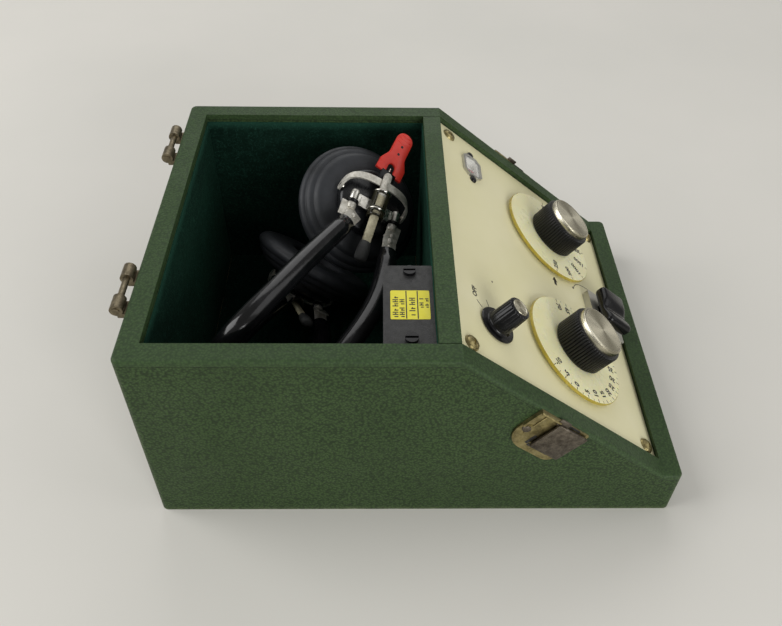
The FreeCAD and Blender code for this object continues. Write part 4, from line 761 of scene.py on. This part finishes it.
# ---------------------------------------------------------------- output selector
output_middle = PANEL @ move(*OUTPUT_AT)
OUTPUT_RIBS = 16
OUTPUT_RIB_DEPTH = 0.07         # by the knob's radius
OUTPUT_PROFILE = [(3.4, -2.4), (9.5, -2.4), (9.85, -2.1), (9.85, -1.75), (9.4, -1.3), (7.4, -1.3),
                  (6.9, -1.2), (6.5, -0.8), (6.3, -0.2), (5.85, 11.7), (5.65, 12.1), (5.2, 12.3),
                  (4.35, 12.3), (4.32, 11.0), (3.4, 11.0), (3.4, -2.4)]
selector = lathe(OUTPUT_PROFILE, 96)
for v in selector.verts:
    around = math.hypot(v.co.x, v.co.y)
    if 5.0 < around < 6.4 and v.co.z > 0:
        rib = min(1.0, 2.0 * abs(math.cos(OUTPUT_RIBS / 2 * math.atan2(v.co.y, v.co.x))))
        v.co.xy *= 1 - OUTPUT_RIB_DEPTH * (1 - rib)
piece("output_selector", selector, "output_dial", GLOSS_BLACK, ["output_knob"], output_middle, 40)
INSERT_PROFILE = [(4.0, 11.3), (4.3, 11.35), (4.3, 12.45), (4.15, 12.66), (3.8, 12.7), (3.55, 12.55),
                  (3.4, 12.4), (0.0, 12.36)]
turned_piece("output_cap", INSERT_PROFILE, "output_dial", output_middle, ["output_insert"])
grub = lathe([(0.0, 0.12), (0.95, 0.12), (1.0, 0.0), (0.95, -0.6), (0.0, -0.6)], 20)
piece("output_grub_screw", grub, "output_dial", STEEL, (),
      output_middle @ turn(-150) @ move(6.02, 0, 4.2) @ turn(90, "Y"), 40)

# ---------------------------------------------------------------- print on the panel
PRINTED = PANEL @ move(0, 0, PANEL_FACE)
ink = bmesh.new()
LEADER = 0.45           # width of the leaders' lines
# the bold arrow that the frequency is read at, and the level's hairline, between the dials
ARROW_Y = -81.6
head = plate([(8.0, -2.0), (11.6, 0.0), (8.0, 2.0)], PRINT)
joined(ink, head, PRINTED @ move(0, ARROW_Y))
shaft = block(3.4, 2.0, PRINT)
joined(ink, shaft, PRINTED @ move(6.6, ARROW_Y, PRINT / 2))
stroke(ink, -11.4, ARROW_Y, -8.6, ARROW_Y, 0.35, PRINTED)
# output selector: OFF and two more positions, each with a leader from the knob's skirt
OFF_ANGLE = 48
for degrees, bend in ((OFF_ANGLE, 1.0), (18, 0.4), (-15, -0.2)):
    aim = Vector((math.cos(math.radians(degrees)), math.sin(math.radians(degrees))))
    near = Vector(OUTPUT_AT) + 10.9 * aim
    curved_stroke(ink, [near, near + 1.5 * aim, near + 2.6 * aim + Vector((1.2, bend))], LEADER, PRINTED)
    if degrees == OFF_ANGLE:
        lettering("OFF", 2.7, PRINTED @ move(*(near + 4.5 * aim + Vector((1.6, 0.4)))), ink)
# a small dot above the dials, and another with the leader that points at the tone bar
for x, y, radius in ((-29.0, -28.1, 0.55), (13.4, -97.8, 0.8)):
    joined(ink, plate(arc(radius, range(0, 360, 15)), PRINT), PRINTED @ move(x, y))
curved_stroke(ink, [(14.2, -98.4), (18.5, -101.0), (21.2, -106.0), (21.8, -112.5)], LEADER, PRINTED)
piece("panel_print", ink, "case", INK)

# ---------------------------------------------------------------- tone bar
TONE_Y = -117.0
TONE_UNDER, TONE_TOP = 3.0, 10.2
TONE_WIDE, TONE_LONG = 26.0, 18.0
TONE_TALL = TONE_TOP - TONE_UNDER
SADDLE_X, SADDLE_WIDE, SADDLE_DEEP = -2.6, 4.2, 2.3
TONE_CROWN = 0.5
tone = block(TONE_WIDE, TONE_LONG, TONE_TALL, 2.6, 6)
for step in range(-11, 12):
    bmesh.ops.bisect_plane(tone, geom=tone.verts[:] + tone.edges[:] + tone.faces[:], plane_co=(step, 0, 0),
                           plane_no=(1, 0, 0))
for v in tone.verts:
    # a saddle that the finger rocks in, off the middle, between two rounded horns
    lifted = (v.co.z + TONE_TALL / 2) / TONE_TALL
    v.co.z -= SADDLE_DEEP * math.exp(-((v.co.x - SADDLE_X) / SADDLE_WIDE) ** 2) * lifted ** 2
    v.co.z -= TONE_CROWN * (v.co.y / (TONE_LONG / 2)) ** 2 * lifted ** 2
piece("tone_paddle", tone, "tone_key", GLOSS_BLACK, ["tone_bar"],
      PANEL @ move(0, TONE_Y, (TONE_UNDER + TONE_TOP) / 2), 60)
lever_stub = block(6.0, 8.0, TONE_UNDER + 2.6, 0.4, 2)
piece("tone_lever", lever_stub, "tone_key", GLOSS_BLACK, (),
      PANEL @ move(0, TONE_Y, (TONE_UNDER + PANEL_FACE) / 2 + 0.2), 40)

# ---------------------------------------------------------------- meter
meter = PANEL @ move(*METER_AT)
METER_CARD, METER_CARD_SHEET = -5.8, 0.3        # height of the card's middle, and its thickness
card = block(14.6, 9.0, METER_CARD_SHEET, 0.05, 1)
piece("meter_card", card, "case", CARD, (), meter @ move(0, 0, METER_CARD), 35)
on_card = meter @ move(0, 0, METER_CARD + METER_CARD_SHEET / 2 + 0.01)
SCALE_Y, SCALE_TOP, SCALE_HALF, SCALE_LINE = 1.6, 3.2, 5.6, 0.25
scale = bmesh.new()
for x in (-4.6, -2.3, 0.0, 2.3, 4.6):
    stroke(scale, x, SCALE_Y, x, SCALE_TOP, SCALE_LINE, on_card)
stroke(scale, -SCALE_HALF, SCALE_Y, SCALE_HALF, SCALE_Y, SCALE_LINE, on_card)
piece("meter_scale", scale, "case", INK)
red_arc = bmesh.new()
for x, y, wide, tall in ((-3.2, 0.9, 6.0, 2.4), (-5.2, -0.2, 2.0, 5.6)):
    joined(red_arc, block(wide, tall, PRINT), on_card @ move(x, y, 0.01))
piece("meter_red_sector", red_arc, "case", RED_INK)
lugs = bmesh.new()
for side in (-1, 1):
    lug = lathe([(0.0, 0.0), (2.1, 0.0), (2.1, 0.8), (1.7, 1.3), (0.8, 1.5), (0.0, 1.5)], 32)
    joined(lugs, lug, move(side * METER_LUG_X, 0, PANEL_FACE + 0.02))
piece("meter_lug_screws", lugs, "case", GLOSS_BLACK, (), meter, 40)

# ---------------------------------------------------------------- battery label
LABEL_LONG, LABEL_WIDE, LABEL_CORNER = 18.0, 17.4, 0.7
LABEL_SHEET = 0.12
LABEL_AT = move(-60.0, 5.6, 106.0)
label = block(LABEL_LONG, LABEL_WIDE, LABEL_SHEET)
uprights = [e for e in label.edges if abs(e.verts[0].co.z - e.verts[1].co.z) > LABEL_SHEET / 2]
bmesh.ops.bevel(label, geom=uprights, offset=LABEL_CORNER, affect="EDGES", segments=4, profile=0.5,
                material=-1)
piece("battery_label", label, "case", YELLOW_LABEL, (),
      LABEL_AT @ move(0, 0, LABEL_SHEET / 2), 35)
rules = bmesh.new()
ON_LABEL = LABEL_AT @ move(0, 0, LABEL_SHEET)
RULE = 0.5              # width of the thin lines
rule_end = LABEL_LONG / 2 - 0.3
for y in (1.7, -3.3):
    stroke(rules, -rule_end, y, rule_end, y, RULE, ON_LABEL)
# rows of plain marks where the label is written on: row's y, marks' height, first x, last x, marks left out
LABEL_ROWS = ((6.5, 2.5, -7.4, 6.2, (4,)), (3.6, 2.2, -7.4, 5.0, (5,)), (-0.9, 2.6, -6.4, 6.4, (1, 4)),
              (-5.0, 1.8, -1.6, 5.6, (3,)), (-7.4, 1.6, -1.6, 5.0, (2,)))
MARK_STEP = 1.3
for y, tall, first, last, left_out in LABEL_ROWS:
    for mark in range(int((last - first) / MARK_STEP)):
        if mark in left_out:
            continue
        x = first + MARK_STEP * mark
        # every third mark is a short one, and every second has a crossbar
        stroke(rules, x, y - tall / 2, x, y + tall / 2 * (1 if mark % 3 else 0.4), 0.62, ON_LABEL)
        if mark % 2:
            stroke(rules, x, y, x + 0.8, y, RULE, ON_LABEL)
piece("battery_label_rules", rules, "case", INK)

# ---------------------------------------------------------------- headset
# half of each sleeve's route in the headset's frame, from the upper clamp to the crown
REAR_BAND = ((12.0, -13.2, 34.1), (30.0, -22.6, 30.6), (50.0, -32.4, 27.0), (70.0, -41.6, 22.5),
             (85.0, -49.0, 17.0), (94.0, -53.4, 9.0))
FRONT_BAND = ((16.5, 13.6, 33.2), (30.0, 13.6, 30.6), (50.0, 11.3, 27.0), (70.0, 4.6, 22.5),
              (85.0, -2.0, 17.0), (94.0, -5.8, 9.0))
SLEEVE_RADIUS = 5.4
SLEEVE_END = (4.7, 3.4)         # half-sizes of a sleeve's flattened end
FLATTENED = 9.0                 # length over which it is flattened


def end_frame(first, second, over):
    """A frame at a sleeve's end: X along it, Z out of its flattened side."""
    along = (second - first).normalized()
    across = over.cross(along).normalized()
    return axes(along, across, along.cross(across), first)


SLEEVE_STARTS = {"upper": {}, "lower": {}}
for band, route in (("rear", REAR_BAND), ("front", FRONT_BAND)):
    first, second = (HEADSET @ Vector(p) for p in route[:2])
    start = end_frame(first, second, CLAMP.to_3x3() @ Vector((0, 0, 1)))
    SLEEVE_STARTS["upper"][band] = start
    SLEEVE_STARTS["lower"][band] = MIRROR @ start
    half = [Vector(p) for p in route]
    whole_route = [HEADSET @ p for p in half] + [MIRROR @ HEADSET @ p for p in reversed(half)]
    line = smoothed(whole_route, 4)
    travelled = [0.0]
    for a, b in zip(line, line[1:]):
        travelled.append(travelled[-1] + (b - a).length)
    stations = []
    for index, point in enumerate(line):
        tangent = (line[min(index + 1, len(line) - 1)] - line[max(index - 1, 0)]).normalized()
        out = tangent.cross(PIVOTS).normalized()
        across = out.cross(tangent).normalized()
        near_end = min(travelled[index], travelled[-1] - travelled[index])
        grown = min(1.0, near_end / FLATTENED)
        grown = grown * grown * (3 - 2 * grown)
        closing = 0.82 if near_end < NEAR else 1.0
        wide, thick = (closing * (end + (SLEEVE_RADIUS - 0.05 - end) * grown) for end in SLEEVE_END)
        stations.append((axes(across, out, tangent, point), wide, thick))
    piece("band_sleeve_" + band, sweep(stations, 32), "headband", VINYL, ["headband_sleeves"],
          crease=50)

# the yoke is a bent strip: flat against the receiver's sides at its feet, and under the rod at its middle
YOKE_FOOT = Vector((0.0, 20.0, -10.0))
YOKE_APEX = (8.4, 8.6)          # how far its middle lies behind and above the pivots
YOKE_SQUARENESS = 2.8           # 2 is an ellipse, and more is squarer
YOKE_FOOT_LONG = 2.4
YOKE_HALF_WIDTH, YOKE_HALF_SHEET = 2.0, 0.55
ROD_HALF_WIDTH, ROD_BACK, ROD_FRONT = 2.3, 15.4, 31.0
ROD_SHEET = 1.6


def bail_stations():
    """Frames along the yoke's strip, from one foot over the receiver's back to the other."""
    lean = Vector((-YOKE_APEX[0], 0, YOKE_APEX[1])).normalized()
    foot_width = Vector((lean.z, 0, -lean.x))
    points, reaches = [], []
    for degrees in range(0, 181, 6):
        t = math.radians(degrees)
        across = math.copysign(abs(math.cos(t)) ** (2 / YOKE_SQUARENESS), math.cos(t))
        reach = math.sin(t) ** (2 / YOKE_SQUARENESS)
        points.append(Vector((-YOKE_APEX[0] * reach, YOKE_FOOT.y * across,
                              YOKE_FOOT.z + YOKE_APEX[1] * reach)))
        reaches.append(reach)
    points = [points[0] - lean * YOKE_FOOT_LONG] + points + [points[-1] - lean * YOKE_FOOT_LONG]
    reaches = [0.0] + reaches + [0.0]
    stations = []
    for index, (point, reach) in enumerate(zip(points, reaches)):
        along = (points[min(index + 1, len(points) - 1)] - points[max(index - 1, 0)]).normalized()
        wide = foot_width.lerp(Vector((1, 0, 0)), reach * reach)
        wide = (wide - along * wide.dot(along)).normalized()
        narrowed = 0.6 if index in (0, len(points) - 1) else 1.0
        stations.append((axes(wide, along.cross(wide), along, point), YOKE_HALF_WIDTH * narrowed,
                         YOKE_HALF_SHEET))
    return stations


def rod_strip():
    """The flat slide rod, with a rounded end under the tab."""
    outline = arc(ROD_HALF_WIDTH, range(90, 271, 15), -ROD_BACK)
    outline += [(ROD_FRONT, -ROD_HALF_WIDTH), (ROD_FRONT, ROD_HALF_WIDTH)]
    shape = plate(outline, ROD_SHEET, 0.3)
    shape.transform(move(0, 0, -ROD_SHEET / 2))
    return shape


# turned profiles from the earphone's axis, and heights over its pivots
CUSHION_PROFILE = [(15.6, -14.6), (15.6, -28.6), (16.4, -29.4), (18.0, -29.6), (29.0, -29.6), (31.2, -29.5),
                   (33.0, -29.0), (34.6, -28.0), (35.6, -26.8), (36.0, -25.4), (35.9, -24.2), (35.4, -23.2),
                   (34.6, -22.6), (33.9, -22.4), (33.7, -22.0), (33.5, -21.0), (32.9, -20.0), (32.0, -19.3),
                   (31.0, -18.9), (30.4, -18.7), (30.2, -18.3), (29.8, -17.4), (29.0, -16.5), (27.8, -15.8),
                   (26.2, -15.3), (24.4, -15.0), (21.0, -14.7), (18.7, -14.6), (18.7, -20.0), (16.4, -20.6),
                   (15.6, -20.6)]
RECEIVER_PROFILE = [(0.0, -21.9), (18.2, -21.9), (18.6, -21.5), (18.6, -11.6), (18.4, -10.6), (17.8, -9.8),
                    (16.6, -9.3), (13.0, -8.6), (8.0, -7.8), (3.0, -7.45), (0.0, -7.4)]
PIVOT_SCREW = [(0.0, 0.0), (1.15, 0.0), (1.15, 1.1), (1.85, 1.15), (1.9, 1.7), (1.5, 2.1), (0.0, 2.2)]
# a hole in the tab is drawn as a thin black disc: painted shade
HOLE_SHADE_PROFILE = [(0.0, 0.0), (0.75, 0.0), (0.75, 0.06), (0.0, 0.06)]
ROD_RIVET = [(0.0, 0.0), (1.3, 0.0), (1.2, 0.35), (0.8, 0.6), (0.0, 0.7)]
PIVOT_LEVEL = 10.0
RECEIVER_RADIUS = 18.6
# rubber tip of the rod: place along the rod, half-width and half-thickness
TIP_RINGS = ((23.9, 2.6, 1.7), (24.2, 2.95, 2.1), (26.0, 3.2, 2.4), (28.2, 3.65, 2.65), (32.6, 3.7, 2.7),
             (34.2, 3.5, 2.5), (35.1, 2.9, 1.9), (35.4, 1.8, 1.0))

TAB_START = 14.6                # from the clamp's middle back to the tab
TAB_SLOPES = {"upper": -2.0, "lower": 11.0}
TAB_SKEW = 7.0
TAB_SHEET = 2.0
TAB_UNDER = 1.2                 # from the rod's underside down to the tab's top
TAB_SIDE = [(4.0, 8.2), (10.6, 8.0), (12.2, 7.2), (16.0, 5.2), (17.0, 5.0), (26.6, 4.9)]
NOTCH_HALF, NOTCH_END = 2.3, 8.4
TIP_LONG, TIP_HALF, TIP_FROM = 3.6, 4.7, 27.4


def tab_shape():
    """The coloured tab: a wide foot with a U notch, sloping shoulders, and a rounded, ribbed tip."""
    foot = TAB_SIDE[0][0]
    notch = [(foot, -NOTCH_HALF)] + arc(NOTCH_HALF, range(-90, 91, 15), NOTCH_END) + [(foot, NOTCH_HALF)]
    tip = arc(TIP_LONG, range(80, -81, -16), TIP_FROM, TIP_HALF / TIP_LONG)
    outline = TAB_SIDE + tip + [(x, -y) for x, y in reversed(TAB_SIDE)] + notch
    shape = plate(outline[::-1], TAB_SHEET, 0.35)
    for x, reach in ((24.6, 4.2), (27.0, 3.9), (29.2, 2.7)):
        ridge = rod(0.42, 2 * reach, 12, 0.3)
        joined(shape, ridge, move(x, -reach, TAB_SHEET - 0.08) @ turn(90))
    return shape


for word in ("upper", "lower"):
    ear = RODS[word] @ move(RECEIVER_SHIFT)
    held = RODS[word]
    body, carrier = "earphone_" + word, "rod_" + word
    cushion = piece("ear_cushion_" + word, lathe(CUSHION_PROFILE, 128), body, CUSHION_RUBBER,
                    ["cushion_" + word], ear, 40)
    piece("receiver_case_" + word, lathe(RECEIVER_PROFILE, 96), body, RECEIVER_BLACK,
          ["receiver_" + word], ear, 40)
    screws = bmesh.new()
    for side in (-1, 1):
        aim = move(0, side * (RECEIVER_RADIUS - 0.2), -PIVOT_LEVEL) @ turn(-90 * side, "X")
        joined(screws, lathe(PIVOT_SCREW, 24), aim)
    piece("pivot_screws_" + word, screws, body, NICKEL, (), ear, 40)

    tab_place = (held @ move(-TAB_START, 0, -ROD_SHEET / 2 - TAB_UNDER - TAB_SHEET) @ turn(180 - TAB_SKEW)
                 @ turn(TAB_SLOPES[word], "Y"))
    colour, surface = ("red_tab", RED_PLASTIC) if word == "upper" else ("blue_tab", BLUE_PLASTIC)
    piece("finger_tab_" + word, tab_shape(), carrier, surface,
          ["tab_red" if word == "upper" else "tab_blue"], tab_place, 40)
    # a black block clips the tab to the rod, and a pin goes through both
    clip = block(6.6, 9.4, 2.2, 0.5, 2)
    joined(clip, rod(0.75, 3.6, 16, 0.2), move(-3.0, 0, 0.9))
    piece("tab_clip_" + word, clip, carrier, GLOSS_BLACK, (),
          tab_place @ move(2.1, 0, TAB_SHEET / 2), 40)
    pin = rod(0.55, 4.2, 16, 0.2)
    piece("tab_pin_" + word, pin, carrier, NICKEL, (),
          tab_place @ move(3.6, 0, TAB_SHEET * 0.62), 40)
    # the tab's two holes are thin black discs laid on it: painted shade where it is open
    hole_shades = bmesh.new()
    for offset in (17.5, 22.5):
        joined(hole_shades, lathe(HOLE_SHADE_PROFILE, 20), move(offset, 0, TAB_SHEET))
    piece("tab_hole_shades_" + word, hole_shades, carrier, GLOSS_BLACK, (), tab_place, 40)

    # the rubber tip is a flared sleeve with a blunt end
    tip = sweep([(move(x) @ turn(90, "Y") @ turn(90), wide, thick) for x, wide, thick in TIP_RINGS], 32)
    piece("rod_end_tip_" + word, tip, carrier, TIP_RUBBER, ["rod_tip_" + word], held, 50)
    painted = block(28.3, 4.7, 1.75, 0.35, 2)
    piece("rod_painted_end_" + word, painted, carrier, IVORY_PAINT, (), held @ move(10.15), 40)
    yoke = sweep(bail_stations(), 4)
    yoke.transform(move(RECEIVER_SHIFT))
    joined(yoke, rod_strip())
    joined(yoke, lathe(ROD_RIVET, 24), move(RECEIVER_SHIFT - YOKE_APEX[0], 0, ROD_SHEET / 2))
    piece("yoke_and_rod_" + word, yoke, carrier, SATIN_NICKEL, ["yoke_" + word], held, 30)

# ---------------------------------------------------------------- clamps and end plates
BARREL_START = -5.0
BARREL_LENGTH = 14.6
BARREL_PROFILE = [(3.6, 0.0), (4.3, 0.0), (4.6, 0.3), (4.6, BARREL_LENGTH - 0.3), (4.3, BARREL_LENGTH),
                  (3.6, BARREL_LENGTH), (3.6, 0.0)]
WINDOW_HALF = 2.8               # half the windows' width
WINDOWS = ((1.2, 9.4), (11.6, 13.7))
WINDOW_TURN = 20.0
RINGS_AT = (-5.4, 5.2)
RING_PROFILE = [(4.5, 0.0), (4.9, 0.0), (5.1, 0.25), (5.1, 0.55), (4.9, 0.8), (4.5, 0.8), (4.5, 0.0)]
RIVET_PROFILE = [(0.0, 0.0), (1.55, 0.0), (1.55, 0.35), (1.15, 0.75), (0.0, 0.95)]
WASHER_PROFILE = [(1.0, 0.0), (2.9, 0.0), (3.2, 0.3), (3.2, 1.7), (2.9, 2.0), (1.0, 2.0), (1.0, 0.0)]
WING_LEVEL = 3.8                # how far the wings lie under the rod's axis
WING_SHEET, STRAP_SHEET = 1.2, 1.0
STRAP_WIDE = 8.2
LUG_Y = 13.0                    # where each band is hinged, off the rod's axis


def windowed_barrel():
    """The clamp's barrel, with two windows along its top where the rod shows."""
    shape = lathe(BARREL_PROFILE, 48)
    cuts = [((0, side * WINDOW_HALF, 0), (0, 1, 0)) for side in (-1, 1)]
    cuts += [((0, 0, level), (0, 0, 1)) for window in WINDOWS for level in window]
    for at, normal in cuts:
        bmesh.ops.bisect_plane(shape, geom=shape.verts[:] + shape.edges[:] + shape.faces[:], plane_co=at,
                               plane_no=normal)
    for low, high in WINDOWS:
        opened = [f for f in shape.faces if abs(f.calc_center_median().y) < WINDOW_HALF
                  and f.calc_center_median().x < 0 and low < f.calc_center_median().z < high]
        bmesh.ops.delete(shape, geom=opened, context="FACES")
        rim = [e for e in shape.edges if e.is_boundary]
        bmesh.ops.bridge_loops(shape, edges=rim)
    shape.transform(turn(WINDOW_TURN, "X") @ turn(90, "Y"))
    return shape


for word, place in CLAMPS.items():
    piece("clamp_barrel_" + word, windowed_barrel(), "headband", BARREL_BLACK, ["headband_clamps"],
          place @ move(BARREL_START), 40)
    metal = bmesh.new()
    for x in RINGS_AT:
        joined(metal, lathe(RING_PROFILE, 48), move(x) @ turn(90, "Y"))
    piece("clamp_rings_" + word, metal, "headband", RING_CHROME, (), place, 40)
    # the wings reach from the barrel to a hinge barrel on each side
    under = place @ move(0, 0, -WING_LEVEL)
    wings = block(6.4, 2 * (LUG_Y - 3.3), WING_SHEET, 0.3, 2)
    wings.transform(move(2.6))
    for side in (-1, 1):
        joined(wings, rod(2.3, 5.6, 40, 0.5), move(-1.2, side * LUG_Y))
        joined(wings, block(5.0, 3.4, WING_SHEET, 0.3, 2), move(1.9, side * (LUG_Y - 2.6)))
    piece("clamp_wings_" + word, wings, "headband", NICKEL, (), under, 40)

    # each band's end: a hinged plate under the wings, and a strap that is riveted to the sleeve
    ends, rivets, washers = bmesh.new(), bmesh.new(), bmesh.new()
    for side, band in ((-1, "rear"), (1, "front")):
        lug = move(0, side * LUG_Y)
        shifted = lug @ move(0, side * 1.6)
        joined(ends, block(8.6, STRAP_WIDE, STRAP_SHEET, 0.35, 2), shifted @ move(10.7))
        joined(ends, rod(2.5, 3.6, 40, 0.4), lug @ move(6.0))
        joined(washers, lathe(WASHER_PROFILE, 40), lug @ move(4.5) @ turn(90, "Y"))
        on_sleeve = under.inverted() @ SLEEVE_STARTS[word][band]
        joined(ends, block(12.0, STRAP_WIDE, STRAP_SHEET, 0.3, 2), on_sleeve @ move(-3.5))
        for x in (-2.2, -6.8):
            joined(rivets, lathe(RIVET_PROFILE, 28), on_sleeve @ move(x, 0, STRAP_SHEET / 2))
        joined(rivets, lathe(RIVET_PROFILE, 28), shifted @ move(12.4, 0, STRAP_SHEET / 2))
    piece("band_end_plates_" + word, ends, "headband", SATIN_NICKEL, ["headband_ends"], under, 40)
    piece("band_rivets_" + word, rivets, "headband", SATIN_NICKEL, (), under, 40)
    piece("band_washers_" + word, washers, "headband", GLOSS_BLACK, (), under, 40)

# ---------------------------------------------------------------- catches
DOWN_SLOPE = Vector((0, -math.cos(SLOPE), -math.sin(SLOPE)))
INTO_WALL = Vector((0, math.sin(SLOPE), -math.cos(SLOPE)))
CATCH_DOWN = 47.0               # from the slope's top down to the plate, along the slope
CATCH_EDGE = 0.9                # from the slope's edge in to the plate
CATCH_SHEET = 1.2
SLIDE_LONG, SLIDE_WIDE, SLIDE_SHEET = 17.6, 19.0, 1.7
SLIDE_DOWN, SLIDE_IN = 67.9, 11.2               # its middle
SLOT_SHADE_SHEET = 0.12               # a slot is drawn as a black layer of this thickness: painted shade where the opening is
CATCH_RIVET = [(0.0, 0.0), (2.2, 0.0), (2.0, 0.5), (1.2, 0.9), (0.0, 1.0)]
# size of each bead that is pressed into the plate, its rounding, and its middle from the plate's corner
TRIM_BEADS = (((12.0, 1.1, 1.8), 0.4, (6.0, 0.4, 0.7)), ((0.9, 11.4, 0.8), 0.3, (0.5, 6.2, 0.3)),
              ((0.8, 14.0, 0.6), 0.25, (4.6, 9.0, 0.2)))
# length, width and middle of each slot's painted shade: under the sliding piece, beside its corner, and
# beside its tongue
SLOT_SHADES = ((13.0, 1.6, 65.6, 21.6), (1.7, 6.6, 57.9, 18.2), (8.0, 1.2, 67.2, 1.1))
for word, side in (("left", -1), ("right", 1)):
    on_wall = axes(DOWN_SLOPE, INTO_WALL * side, Vector((side, 0, 0)),
                   Vector((side * HALF_WIDTH, SLOPE_TOP_Y, CASE_HEIGHT))) @ move(0, 0, CATCH_SHEET)
    slide = block(SLIDE_LONG, SLIDE_WIDE, SLIDE_SHEET, 0.55, 3)
    slide.transform(move(SLIDE_DOWN, side * SLIDE_IN, 1.2))
    joined(slide, block(6.0, 4.0, 0.9, 0.25, 2), move(60.4, side * 0.9, 0.75))
    joined(slide, rod(0.55, 18.4, 16, 0.2), move(59.3, side * SLIDE_IN - 9.2, 1.9) @ turn(90))
    piece("catch_slide_plate_" + word, slide, "catch_" + word, CATCH_STEEL,
          ["catch_slide_" + word], on_wall, 40)
    trim = bmesh.new()
    for size, rounding, (down, inward, up) in TRIM_BEADS:
        joined(trim, block(*size, rounding, 2), move(CATCH_DOWN + down, side * (CATCH_EDGE + inward), up))
    piece("catch_plate_trim_" + word, trim, "case", BRASS_SCREW, (), on_wall, 40)
    piece("catch_rivet_" + word, lathe(CATCH_RIVET, 28), "case", CATCH_STEEL, (),
          on_wall @ move(CATCH_DOWN + 3.6, side * (CATCH_EDGE + 13.0)), 40)
    # each slot is painted shade: a black layer laid on the plate where it is open
    slot_shades = bmesh.new()
    for long, wide, down, inward in SLOT_SHADES:
        joined(slot_shades, block(long, wide, SLOT_SHADE_SHEET, SLOT_SHADE_SHEET / 3, 1), move(down, side * inward))
    piece("catch_slot_shade_" + word, slot_shades, "case", INK, (), on_wall @ move(0, 0, SLOT_SHADE_SHEET / 2),
          40)

# ---------------------------------------------------------------- the model's own nodes
NODE_FINISHES = {
    LEATHERCLOTH: ("case_covering",),
    PINE: ("side_board_left", "side_board_right", "rear_board", "base_board", "front_board", "divider_board",
           "panel_cleats"),
    BRASS_AGED: ("catch_plate_left", "catch_plate_right"),
    TARNISHED: ("hinge_leaves", "hinge_pins"),
    STEEL: ("hinge_screws",),
    BRASS_SCREW: ("panel_screws",),
    CREAM: ("control_panel",),
    GLOSS_BLACK: ("battery_cover_screws",),
    BEZEL_GREY: ("tone_bezel", "meter_bezel", "level_attenuator", "output_switch"),
    CLEAR: ("meter_window",),
    CARD: ("meter_body",),
    RED_INK: ("meter_needle",),
    BATTERY_PAINT: ("battery_box", "battery_cover"),
    BATTERY_PRINT: ("battery",),
    TURNED_BRASS: ("control_bushes", "board_standoffs"),
    GROUND_STEEL: ("frequency_shaft", "level_shaft", "output_shaft"),
    BROWN_PHENOLIC: ("frequency_switch", "tone_switch", "board_parts"),
    RESIN_BOARD: ("circuit_board",),
}
for surface, names in NODE_FINISHES.items():
    for name in names:
        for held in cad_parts[name].material_slots:
            held.material = surface

# ---------------------------------------------------------------- floor, lights and camera
def floor_paper():
    """Matt grey-white paper, a little uneven in tone."""
    made, tree, shader = finish("paper_sweep", "D3D0C9", 0.9)
    tone = cloudy(tree, object_place(tree), 300.0, 0.0, 1.0)
    fill(tree, shader, {"Base Color": add(tree, "Mix", {0: tone, 6: "D6D3CC", 7: "CFCDC6"}, **COLOURS)})
    return made


# from here on, in metres
sweep_paper = bmesh.new()
bmesh.ops.create_grid(sweep_paper, x_segments=2, y_segments=2, size=3.0)
floor_mesh = bpy.data.meshes.new("floor")
sweep_paper.to_mesh(floor_mesh)
sweep_paper.free()
floor_mesh.materials.append(floor_paper())
floor = bpy.data.objects.new("floor", floor_mesh)
bpy.context.scene.collection.objects.link(floor)

world = bpy.data.worlds.new("studio")
bpy.context.scene.world = world
world.use_nodes = True
background = world.node_tree.nodes["Background"]
background.inputs["Color"].default_value = rgb("F2F1EE")
background.inputs["Strength"].default_value = 0.3


def lamp(name, at, aim, size, power):
    """A square soft box that faces a point."""
    light = bpy.data.lights.new(name, "AREA")
    light.shape = "SQUARE"
    light.size = size
    light.energy = power
    holder = bpy.data.objects.new(name, light)
    bpy.context.scene.collection.objects.link(holder)
    facing = (Vector(aim) - Vector(at)).to_track_quat("-Z", "Y").to_matrix().to_4x4()
    holder.matrix_world = Matrix.Translation(at) @ facing


LAMPS_AIM = (0, 0, 0.05)
lamp("low_window", (-1.7, -0.75, 0.6), LAMPS_AIM, 1.0, 22.4)
lamp("rear_softbox", (0.0, 1.6, 1.3), LAMPS_AIM, 1.6, 27.8)
lamp("front_softbox", (0.0, -1.6, 1.3), LAMPS_AIM, 1.6, 7.0)
lamp("far_softbox", (1.6, 0.0, 1.3), LAMPS_AIM, 1.6, 10.1)

# the camera's place and aim, and its lens in pixels of an image of 782 by 626
CAMERA_AT = Vector((-0.3056, 0.0192, 0.3473))
AZIMUTH, DOWNWARD, ROLL = math.radians(-1.627), math.radians(45.169), math.radians(1.289)
IMAGE_WIDE, IMAGE_TALL = 782, 626
FOCAL_LENGTH = 784.0
AXIS_X, AXIS_Y = 394.9, 314.1
FILM_WIDE = 36.0
ahead = Vector((math.cos(DOWNWARD) * math.cos(AZIMUTH), math.cos(DOWNWARD) * math.sin(AZIMUTH),
                -math.sin(DOWNWARD)))
level = ahead.cross(UP).normalized()
upright = level.cross(ahead)
right = level * math.cos(ROLL) + upright * math.sin(ROLL)
top = upright * math.cos(ROLL) - level * math.sin(ROLL)
lens = bpy.data.cameras.new("camera")
lens.sensor_width = FILM_WIDE
lens.lens = FILM_WIDE * FOCAL_LENGTH / IMAGE_WIDE
lens.shift_x = (IMAGE_WIDE / 2 - AXIS_X) / IMAGE_WIDE
lens.shift_y = (AXIS_Y - IMAGE_TALL / 2) / IMAGE_WIDE
camera = bpy.data.objects.new("camera", lens)
bpy.context.scene.collection.objects.link(camera)
camera.matrix_world = axes(right, top, -ahead, CAMERA_AT)
bpy.context.scene.camera = camera
bpy.context.scene.view_settings.view_transform = "Standard"
